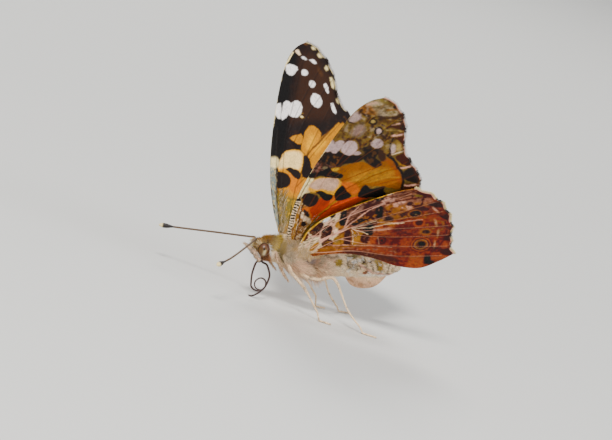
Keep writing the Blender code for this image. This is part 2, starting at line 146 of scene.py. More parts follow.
# Tufts at the wing bases: wing, upper side, count, plan box, colour, length and rise
HAIR_ZONES = (
    ("fore", False, 1300, (-0.9, 2.0, 0.2, 1.9), "buff", 1.0, 0.4),
    ("fore", True, 1700, (-1.2, 3.2, 0.9, 7.0), "olive", 1.1, 0.5),
    ("hind", False, 1200, (0.9, 4.6, -0.3, 1.2), "buff", 1.0, 0.4),
    ("hind", True, 1500, (1.4, 8.0, -0.1, 5.5), "olive", 1.3, 0.5),
)

# Body sections of the skin: x, centre height, half width, half height
BODY_SKIN = [(-4.44, -0.85, 0.05, 0.05), (-4.4, -0.85, 0.28, 0.30), (-4.2, -0.84, 0.44, 0.56),
             (-3.8, -0.86, 0.62, 0.90), (-3.3, -1.06, 0.72, 1.32), (-2.9, -1.2, 0.74, 1.64),
             (-2.5, -1.18, 0.76, 1.62), (-2.1, -1.15, 0.92, 1.64), (-1.7, -1.1, 1.16, 1.72),
             (-1.1, -1.06, 1.38, 1.84), (0.2, -1.2, 1.66, 2.08), (1.6, -1.6, 1.72, 2.0),
             (2.9, -1.95, 1.56, 1.74), (3.7, -2.12, 1.32, 1.42), (4.3, -2.2, 1.16, 1.26),
             (5.2, -2.2, 1.42, 1.52), (7.0, -2.05, 1.68, 1.68), (9.5, -1.85, 1.74, 1.60),
             (12.0, -1.7, 1.68, 1.50), (14.2, -1.6, 1.44, 1.34), (15.8, -1.4, 1.05, 1.0),
             (16.9, -1.2, 0.62, 0.62), (17.35, -1.12, 0.25, 0.28), (17.4, -1.1, 0.03, 0.03)]
BODY_STEP = 0.09
ABDOMEN_START = 4.3
FACE_BACK = -3.85           # hair in front of this points forward
SEGMENT_LENGTH = 1.55
SHOULDER_TUFTS = 3200

# Limbs
EYE_CENTRE = (-3.25, 1.0, -1.27)
EYE_HALF = (0.84, 0.78, 0.95)
EYE_INSET = 0.86            # share of EYE_CENTRE's distance from the middle
EYE_FACETS = 15000.0
PALP_PATH = [(-3.3, -0.5, -2.5), (-3.5, -0.58, -2.85), (-3.84, -0.6, -2.42), (-4.51, -0.58, -1.8),
             (-5.1, -0.55, -1.4), (-5.55, -0.52, -1.2), (-5.8, -0.5, -1.1)]
PALP_RADII = [0.12, 0.2, 0.24, 0.27, 0.24, 0.15, 0.05]
ANTENNA_PATHS = {
    "left": [(-4.4, -0.4, -0.1), (-4.62, -0.45, 0.0), (-5.3, -1.5, -0.12), (-7.08, -4.0, -0.56),
             (-10.24, -7.7, -1.5), (-12.92, -10.3, -2.11)],
    "right": [(-4.4, 0.4, -0.1), (-4.62, 0.45, 0.0), (-5.35, 1.5, -0.3), (-8.38, 5.0, -1.22),
              (-13.0, 8.3, -2.15), (-15.33, 9.4, -2.41)],
}
ANTENNA_RADIUS = 0.125
CLUB_RADIUS = 0.33
CLUB_LENGTH = 2.1
ANTENNA_RING = 0.34
FORELEG_PATH = [(-1.7, -1.4, -1.2), (-1.3, -2.5, -2.4), (-0.35, -2.9, -3.8), (0.6, -2.85, -4.75)]
HINDLEG_PATH = [(2.7, -1.0, -3.0), (2.9, -1.65, -3.8), (5.16, -1.9, -4.05), (7.14, -3.0, -3.46),
                (9.61, -4.0, -7.14), (11.71, -5.0, -9.2)]
LEG_PATHS = {
    "midleg_left": [(0.6, -1.2, -2.7), (0.9, -2.3, -3.5), (1.4, -3.0, -3.95), (2.75, -4.0, -5.13),
                    (5.3, -4.2, -8.15)],
    "midleg_right": [(0.6, 1.2, -2.7), (0.9, 2.4, -3.5), (2.0, 3.0, -4.0), (5.2, 3.9, -5.2),
                     (7.9, 4.2, -7.9)],
    "hindleg_left": HINDLEG_PATH,
    "hindleg_right": [(x, -y, z) for x, y, z in HINDLEG_PATH],
}
FORELEG_RADII = [0.14, 0.17, 0.14, 0.07]
LEG_RADIUS = 0.125
THIGH_SWELL = 0.085
FOOT_LENGTHS = {"midleg": 2.3, "hindleg": 2.6}
FOOT_SPLAY = math.radians(16.0)
FOOT_RISE = 0.17
HEEL_LENGTH = 0.55
FOOT_KNOT = 0.62
GALEA_LEFT_PATH = [(-3.0, -0.25, -2.6), (-3.15, -0.3, -3.1), (-3.7, -0.34, -3.3), (-3.92, -0.42, -4.4),
                   (-3.95, -0.45, -5.27), (-3.78, -0.5, -6.5)]
COIL_CENTRE = (-2.69, -6.13)
COIL_RADII = (1.18, 0.78)
COIL_START = -160.0
COIL_TURN = 450.0
COIL_SIDE = -0.5
COIL_SLIDE = 0.6
COIL_STEPS = 24
GALEA_RIGHT_PATH = [(-2.7, 0.3, -2.6), (-2.6, 0.42, -3.3), (-1.85, 0.45, -3.6), (-1.4, 0.45, -4.25),
                    (-1.05, 0.42, -5.1), (-1.15, 0.4, -6.1), (-1.45, 0.4, -7.0), (-2.15, 0.4, -7.8)]
TONGUE_TIP_LENGTH = 1.3
TONGUE_RADIUS = 0.15
TONGUE_RING = 0.16

# Wing marks: kind, colour, softness of the edge, size (a line's width, a spot's turn, a fleck's share)
# and strength | outline or path, or the centre and radii of a spot, in millimetres of the plan
FORE_UPPER = [
    "patch umber 2.2 | 0.3,17.5 2.8,18 6.5,19 7.6,22 6,25.5 3,28 1.6,26.5 1.4,22.5",
    "patch jet 0.8 | -2.4,12 -0.2,12.6 0.4,16.8 0.2,22 0.9,25.8 0.6,27.6 -1,25 -2,18",
    "patch orange 0.22 | 0.7,14.95 1.7,15.55 2.55,15.75 2.6,14.5 1.7,14.3",
    "patch orange 0.25 | 2.55,13.6 2.9,15.8 3.5,17 4.4,17.4 5.3,16.9 5.6,16.1 4.8,14.7 3.9,13.2 3,12.7",
    "patch yellow 0.9 | 3.3,14.2 3.8,15.9 4.6,16 4.4,14.8 3.8,13.8",
    "patch orange 0.25 | 3.5,13.2 4.8,14.6 5.5,15.7 6.5,16.7 7.4,17.5 8.1,18.4 8.7,18.4 8.6,17.6 8.8,15 "
     "8.7,12 6.4,8.4 4.5,6 2.6,5.6 2.9,9.6 4.2,11.4 3.8,12.4",
    "patch yellow 0.6 | 4.8,13.4 6.4,15.2 6,15.6 4.7,14",
    "line brown 0.22 0.22 | 3.3,12.7 4.4,14.1 6,16 6.7,16.9",
    "patch soot 0.25 | 2.6,10 2.8,12.6 3.4,12.6 4.1,11.5 4.6,10.8 3.7,9.6",
    "patch soot 0.25 | 5.6,11.6 7.3,12.6 8.9,14.4 8.4,15.4 7.1,14.7 5.9,13.4",
    "patch orange 0.4 | 8.6,18.3 9.8,18 11,16.9 12,16 11.8,14.6 9.6,12.4 8.2,13",
    "patch soot 0.3 | 9.2,13 10.4,14.4 11.4,16.2 10.6,16.8 9.8,15.8 9,14.3",
    "patch soot 0.25 | 11,13.4 13.2,15.2 13,17 11.4,19.2 9.2,20.8 8.8,19.5 10.8,18.2 11.9,16.4",
    "patch yellow 0.2 | -0.95,9.8 -0.8,11.3 -0.1,12.7 0.8,13.2 2.3,13.4 2.9,12.8 2.7,11 2.4,10 0.8,10.2",
    "patch cream 0.5 0 0.7 | -0.85,10.2 -0.7,11.4 0,12.6 0.8,13 2.2,13.2 2.75,12.6 2.5,11.2 2.1,10.4 "
     "0.8,10.6",
    "patch orange 0.5 | -1,7.5 -0.6,9.9 0.8,10.4 2.6,10.2 2.7,8 2.2,6.2 -0.6,6.6",
    "patch tangerine 0.8 0 0.5 | 0.2,8.4 1,9.9 2.6,9.4 2.6,7.6 1.4,7",
    "patch orange 0.4 | -0.8,6.6 0.2,7.2 1.4,6.9 1.2,6.1 -0.6,6.2",
    "patch soot 0.18 | 0.2,10.3 0.9,10.7 1.5,10.5 2.4,10.3 2.65,9.5 2.2,9.1 1.6,9.3 0.9,9.9",
    "patch soot 0.2 | -1.25,7.4 -0.6,7.3 0.5,7.7 1,8.3 0.95,9.2 0.3,9.75 -0.6,9.75 -1.2,9.3",
    "patch olive 1.2 | -1,1 -1.3,4 -1,6.5 0.2,6.5 1.6,6.2 3.4,6.2 5.2,5.6 2.4,1.6 1,0.6",
    "patch ochre 0.8 | -0.8,0.6 -1,1.8 0.4,2.2 1.8,1.8 1.4,0.6",
    "fleck buff 0.4 0.3 | -1.1,1 -1.3,6.2 1.8,6.2 4.6,5.4 1.4,0.6",
    "patch white 0.18 | -2,18.9 -1.2,19.75 -1,19.2 -0.97,17.5 -1.4,17.4 -1.95,17.9",
    "patch white 0.18 | -0.8,19 -0.4,20.05 0.4,20.1 0.62,19.6 0.1,18 -0.4,17.5 -0.85,17.4",
    "patch white 0.18 | 0.55,19.8 1.2,20.5 1.9,20.45 2.4,19.8 2.3,18.9 1.7,18.15 0.9,18.05 0.28,18.3 "
     "0.4,19.1",
    "fleck buff 0.3 0.25 | 2.1,18.1 3.3,18.2 3,18.9 2.2,18.8",
    "spot cream 0.2 | 2.35,18.35 0.2,0.16",
    "patch white 0.18 | -0.5,25.4 0.2,25.6 1.4,25.25 1.15,24.7 0.5,24.05 -0.2,23.95 -0.55,24.6",
    "spot white 0.2 20 | 2.42,24.78 0.5,0.46",
    "spot white 0.2 | 3.75,23.42 0.5,0.52",
    "patch white 0.2 | 3.6,21.2 3.85,21.9 4.3,22.1 4.9,21.9 5.45,21.1 5.2,20.35 4.6,20.1 3.9,20.35",
    "patch linen 0.18 | 0.7,27.7 1,27.95 1.3,27.7 1.6,27.2 1.2,27.1",
    "spot white 0.2 -10 | 2.2,26.9 0.42,0.2",
    "patch white 0.2 | 3.1,26.75 3.6,26.95 4.1,26.7 4.2,26.3 3.7,26.35",
    "spot brown 0.5 -60 0.6 | 4.9,25.4 0.55,0.22",
    "patch white 0.18 | 5.55,23.6 5.95,23.8 6.4,22.8 6.45,22.4 6,22.6",
    "patch white 0.18 | 6.9,21.2 7.3,21.3 7.65,20.5 7.9,19.9 7.5,19.7 7.1,20.4",
    "line brown 0.3 0.22 0.6 | 9,19.5 10.6,18.2",
    "patch cream 0.2 | 1.9,29.15 2.6,29.7 3.1,29.3 2.5,29",
    "spot brown 0.3 | 2.2,28.95 0.35,0.2",
    "patch cream 0.35 0 0.85 | 3.2,28.7 3.5,29 4,28.7 3.9,28.45 3.4,28.4",
    "patch cream 0.35 0 0.85 | 4.3,27.7 4.6,28.1 5.2,27.8 5,27.5 4.5,27.4",
    "patch cream 0.32 0 0.8 | 5.6,26.1 5.85,26.6 6.2,26.3 6.1,25.8 5.75,25.7",
    "patch cream 0.35 0 0.85 | 6.4,24.8 6.8,25 7.25,24 7.4,23.5 6.95,23.4 6.6,24",
    "patch cream 0.35 0 0.7 | 7.75,22 8,22.1 8.3,21.5 8,21.3",
    "line cream 0.12 0.2 | -2.1,16 -1.75,20.2 -1,24.4 0.4,27.4",
    "patch grey 0.3 | -2.25,1.5 -2.35,8.5 -2.3,10.2 -1.45,10.4 -1.2,6 -0.7,1.6",
    "fleck cream 0.4 0.4 | -1.6,1.4 -2.3,7 -2.4,10.2 -1.3,10.2 -1.2,6 -0.6,1.4",
    "fleck umber 0.4 0.28 | -1.6,1.4 -2.3,7 -2.4,10.2 -1.3,10.2 -1.2,6 -0.6,1.4",
    "line umber 0.12 0.12 | -1.3,10.4 -1.15,6 -0.6,1.6",
    "patch cream 0.5 0 0.85 | -2.2,10.2 -1.15,10.3 -0.95,11.4 -2.2,11.6",
    "line soot 0.1 0.2 | -1.5,3 -2.15,7.2 -2.35,9.2",
]
FORE_UNDER = [
    "fleck tan 0.9 0.4 | -1,20.8 0.5,26 3.5,29.2 6.4,26.4 7.6,22 6,20 3,20.8",
    "fleck umber 0.6 0.42 | -1,20.8 0.5,26 4.5,28 6.4,26.4 7.6,22 6,20 3,20.8",
    "patch tan 0.4 | -2.2,4 -2.3,8.5 -0.4,8.4 0.2,6.6 0.9,4.6 0.6,0.6 -0.8,0.6",
    "fleck linen 0.4 0.42 | -1.6,4 -1.6,8 -0.6,8 0.9,4.6 0.6,0.6 -0.6,0.6",
    "patch cream 0.3 | -2.4,8 -2.4,12.6 -1.2,12.6 -1.3,8",
    "patch tangerine 0.3 | -1.1,7 -0.6,7.8 0.2,8.6 0.6,10.6 -0.6,11.2 0.3,11.4 1.4,10.8 2.4,11 2.8,9.8 "
     "2.2,7.6 1.4,5.2 0.6,6.4 -0.2,7.3",
    "patch vermilion 0.35 | 0,7.6 0.9,6.2 1.4,5.4 1.9,7.6 2.3,9.2 1.9,10.2 0.7,10.1 0.4,8.6",
    "patch flame 0.3 | 1.6,5.6 2.2,6.4 4.2,8.4 6.2,11.5 7.4,12.6 5.2,12.3 3.6,11 2.3,8.8",
    "patch disc 0.25 | 2.3,13.3 3.9,12.1 4.6,11.9 5.5,12.3 5.5,13.9 8,14.8 10.2,14.8 10.3,15.9 9.9,17 "
     "8.8,18.1 8,19.1 6.6,19.9 5.9,18.9 5.2,18 4.2,18 3.6,18.1 2.3,17.2 1.2,16.5 0.4,15.9 1.3,15.2 2,14.9",
    "patch rustlight 0.6 | 6.2,19.6 7.4,19.3 9.4,17.4 10.2,15.8 9.6,16 8.2,17.8",
    "patch disclight 1 | 2.8,15.4 4.4,14.4 7.5,16 8.5,17.5 6.6,17.9 4.6,16.8",
    "patch tangerine 0.6 | 2.4,13.4 3.6,12.4 4.6,12.1 5.2,12.9 4.6,13.8 3.2,14.2",
    "line rust 0.15 0.12 | 3.3,12.9 5.2,15.3 7.3,17.3 8.6,18.2",
    "line rust 0.15 0.12 | 2.3,14 4,16 6,18.1",
    "line rust 0.15 0.12 | 5.6,13.4 8,15.6 9.8,16.8",
    "line buff 0.35 0.14 0.5 | 3,14 4.8,15.6 7.2,17.6",
    "line buff 0.35 0.14 0.5 | 4.8,13.9 7.6,16.2 9.4,17",
    "line ochre 0.15 0.2 | 1.1,4.2 1.5,6.5 2.2,8.6 3.1,10.4 4.8,12",
    "line soot 0.12 0.07 | 1.35,4.6 1.8,6.9 2.5,8.8 3.3,10.2",
    "patch soot 0.2 | -0.75,7.5 -0.2,7.3 0.45,6.5 0.4,6.1 -0.1,6.3 -0.6,6.9",
    "patch linen 0.35 0 0.6 | -0.9,6.4 0,6.3 1,5.6 1.1,4.9 0.4,5.2 -0.5,5.8",
    "patch soot 0.2 | -0.1,5.2 0.35,5.2 0.75,4.5 0.4,4.1 0,4.5",
    "patch soot 0.2 | -1.8,9.2 -1.3,8.3 -0.4,8.1 0.35,8.4 0.6,9.4 0.3,10.3 -0.5,10.5 -1.5,10.3",
    "patch yellow 0.35 | -1.5,11 -0.6,10.8 0.2,11.3 2.3,11.2 2.5,13.2 1.7,14.1 0,14 -1.3,12.9",
    "patch blush 0.4 | -1.6,11.7 -1.2,12.8 -0.4,13.7 0.6,14 1.7,14.05 2.1,13.2 1.9,12.1 1.2,11.7 0.4,11.9 "
     "-0.4,11.5 -1.3,11.4",
    "patch jet 0.18 | -0.45,11.15 0.4,11.5 1,11.1 2,11.2 2.3,10.4 1.8,9.8 0.9,10.1 0.1,10.7",
    "patch jet 0.18 | 2.5,13.2 2.9,13.2 3.6,12.4 4.5,11.95 4.2,11.3 3.1,10.2 2.6,10.6 2.2,11.5",
    "patch jet 0.2 | 5.3,13.9 5.9,14.2 6.6,13.8 7.6,14.6 8.2,15 8.3,14 9.2,13.2 9,12.2 7.5,12.4 6.3,12 "
     "5.3,12.1",
    "patch maroon 0.4 | 9.2,13.4 10.6,15 11,16.2 12.6,16 12.2,14.4 9.4,11 8.4,11.6",
    "patch umber 0.4 | -2.6,14 -1,14.2 0.6,15.6 1.4,16.9 2.6,17.6 -0.5,17.8 -2.4,18",
    "fleck mauve 0.5 0.42 | -2.6,14 -1.2,14.2 0.2,15.6 0.6,16.6 -0.5,17.6 -2.4,18",
    "patch greytan 0.25 | -1.1,15.2 -0.2,15.2 -0.1,15.6 -0.8,15.8",
    "patch buff 0.35 | 0,15.6 0.8,15.5 1.1,16.2 0.4,16.2",
    "patch jet 0.18 | -2.7,13.2 -1.6,13.1 -0.9,13.9 0,14.1 1.2,14 2.1,14.5 2,15.1 1.2,15.1 0.4,15.4 "
     "-0.3,15.9 -0.8,15 -1.6,14.1 -2.6,14",
    "patch soot 0.25 | -2.4,17 -0.8,16.2 0.2,16.3 1,16.9 2.6,17.5 3.5,18.4 3.4,19.1 1.9,18.9 0.4,18.8 "
     "-0.2,19.1 -0.6,18.5 -2.3,18.4",
    "fleck brown 0.4 0.4 | -2.2,17 -0.8,16.2 0.2,16.3 0.8,17.6 -0.5,18.2 -2.2,18.2",
    "patch soot 0.4 | 2.6,20.3 3.2,20.9 4.2,20.7 5,20.9 5.3,20.2 5,19.4 6,19 6.3,18.3 5.7,17.7 4.9,17.8 "
     "3.8,18.4 3.3,18.8 3.3,19.6",
    "fleck brown 0.4 0.22 0.6 | 2.6,20.3 4.2,20.7 5.3,20.2 6.3,18.3 4.9,17.8 3.3,19.2",
    "patch umber 0.3 | 5.2,20.8 6.4,19.8 6.2,19 5.2,19.6",
    "patch rose 0.2 | -2.3,18.5 -1.3,18.3 -1.1,19.2 -1.2,20.2 -1.9,20.3",
    "patch rose 0.2 | -1.1,18.5 -0.4,18.4 -0.1,19.1 0.1,20 0,20.7 -0.8,20.6 -1.15,19.6",
    "patch rose 0.2 | 0.15,19.1 0.7,18.8 1.4,18.7 1.95,19.2 2,20.2 1.5,21.1 0.9,21.2 0.4,20.8 0.1,20",
    "patch rose 0.22 | 1.9,19.1 2.4,19 3,19.3 2.6,19.7 2,19.6",
    "line darkbrown 0.3 0.4 | 0.6,21.3 1.3,21.7 2.1,21.1 2.4,20.2",
    "patch greytan 0.5 | 0.2,22 1.2,21.9 2,22.8 1.7,24.2 1.1,24.6 0.4,23.6",
    "patch greypink 0.7 0 0.8 | 0.4,22.3 1.4,22.2 1.8,23.6 1,24.2",
    "patch rose 0.5 0 0.75 | -0.8,24.3 -0.2,24.1 0.6,24.9 0.5,25.6 -0.3,26",
    "line soot 0.2 0.2 | -0.95,24.4 -0.6,24 -0.2,24",
    "patch umber 0.35 | 0.3,25.9 1.4,25.5 1.7,26 0.6,26.4",
    "patch tan 0.4 | -0.1,26.2 0.8,26.1 2.3,26.3 2,26.9 1,27.6 0.2,27.4",
    "fleck umber 0.4 0.4 | -0.1,25.8 0.8,25.7 2.5,26.1 2,26.9 1,27.6 0.2,27.4",
    "line brown 0.4 0.3 | 0.4,27.1 1.2,26.8 2.1,26.4",
    "patch greypale 0.9 0 0.55 | 0.5,27.7 1.4,28.6 2.6,28.4 3.6,28 4.4,28.1 5.4,27.4 4.2,26.6 3,26.5 2,27 "
     "1.2,27.5",
    "fleck olive 0.6 0.45 0.8 | 0.5,27.7 1.4,28.6 2.6,28.4 4.4,28.1 5.4,27.4 4.2,26.6 2,27",
    "line pink 0.35 0.2 0.7 | 0.7,27.6 1.6,28.2",
    "line greypale 0.35 0.16 0.5 | 2.6,26.4 3.8,26.6 5.3,27.3",
    "line greytan 0.3 0.2 | 1.7,27.4 3.4,28",
    "patch olive 0.5 0 0.8 | 1.3,28.5 2.6,28.4 3.3,28.7 2.8,29.3 1.8,29.2",
    "line apex_dark 0.3 0.14 0.7 | 1,27 2.4,27.9 3.4,28.7",
    "line apex_dark 0.3 0.14 0.6 | 2.6,27 3.8,27.5 4.6,28",
    "spot soot 0.25 -20 | 3.2,29.1 0.4,0.18",
    "line tan 0.25 0.25 | 3.5,27.5 4.7,27.9",
    "spot soot 0.22 -30 | 4.35,28.2 0.34,0.28",
    "patch umber 0.25 | 4.2,26.4 5.2,26.4 6.1,26.6 6.2,27.2 5.5,27.5 4.9,26.9",
    "spot soot 0.3 -10 | 5.7,27.1 0.5,0.3",
    "line brown 0.3 0.2 | 3.2,25.2 4.2,25.7 5.4,26.2",
    "line umber 0.25 0.25 | 3,25.7 4.2,26.2 5.2,26.5",
    "patch maroon 0.22 | 4.4,24.7 5.3,24.9 6,24.8 7.05,24.8 7.1,25.3 6.6,26 6,25.8 5.6,25.3 4.8,25.3",
    "patch soot 0.25 | 6.3,25 7.1,24.9 7,25.5 6.5,25.9",
    "line pink 0.2 0.2 | 5.1,25.35 5.9,25.8",
    "line olive_light 0.3 0.22 0.6 | 4.6,24.3 5.8,24.5 7,24.6",
    "patch maroon 0.22 | 6.1,23 6.9,23 8,22.3 8.1,22.8 7.5,23.8 6.9,23.8 6.4,23.4",
    "line soot 0.25 0.26 | 5.5,24 6,23.4 6.1,22.6",
    "line pink 0.2 0.26 | 5.8,23.5 6.6,23.9 7.4,24.2",
    "patch olive_light 0.4 0 0.8 | 6.9,21.6 7.6,21.3 8.1,21.9 7.7,22.5 7,22.5",
    "patch rose 0.35 0 0.85 | 6.3,21.9 6.5,21 6.9,20.7 7.1,21.3 6.7,22.3",
    "line linen 0.22 0.18 | 6.9,20.6 7.5,20.95 8.2,21.5",
    "line soot 0.2 0.22 | 6.1,22.2 6.4,21.1 6.9,20.3",
    "patch maroon 0.22 | 7.5,20.2 8.2,19.6 9.1,19 10,19.2 10.1,19.7 9,20.8 8.2,21.1",
    "spot soot 0.3 -50 | 9.6,19.7 0.5,0.25",
    "line ochre 0.25 0.2 | 7.6,19.8 8.5,19.1 9.7,18.9",
    "line pink 0.2 0.24 | 8.9,18.3 9.8,18.9 10.6,19.4",
    "patch soot 0.22 | 9.6,18 10.2,16.9 11.3,16.5 12.3,16.5 12.2,17.5 11.4,18.6 10.3,19",
    "line pink 0.2 0.26 | 10.8,15.7 11.8,16.1 12.8,16.5",
    "line soot 0.25 0.42 | 6.4,20.3 7.7,19.5 8.6,18.5 9.6,17.6 10.3,16.2 10.5,15.2",
    "patch rose 0.22 | 3.4,21.7 3.9,21 4.8,20.9 5.2,21.4 5.1,22.1 4.5,22.5 4,22.5",
    "patch soot 0.3 | 1.7,25.2 2.1,24.6 2.9,24.7 2.9,25.5 2.3,25.7",
    "spot olive_light 0.18 | 2.38,25.12 0.34,0.32",
    "patch soot 0.25 | 3.05,24.2 3.1,23.5 3.6,23 4.2,23.2 4.3,24.2 3.8,24.6 3.3,24.5",
    "spot rose 0.18 10 | 3.72,23.88 0.36,0.44",
    "line brown 0.15 0.24 | -2,9.2 -1.5,6 -0.7,1.6",
    "line ochre 0.2 0.28 0.8 | -1.6,9 -1.1,6 -0.2,2 0.2,0.9",
    "line umber 0.12 0.14 | -1.2,8.6 -0.7,5.8 0.1,2 0.5,0.9",
    "line brown 0.15 0.14 | -1.9,13 -2,10 -1.8,8.8",
    "line cream 0.1 0.14 | -1.7,20 -2.2,15.6 -2.35,12 -2.3,9 -1.9,5.5 -1.2,1.8",
]
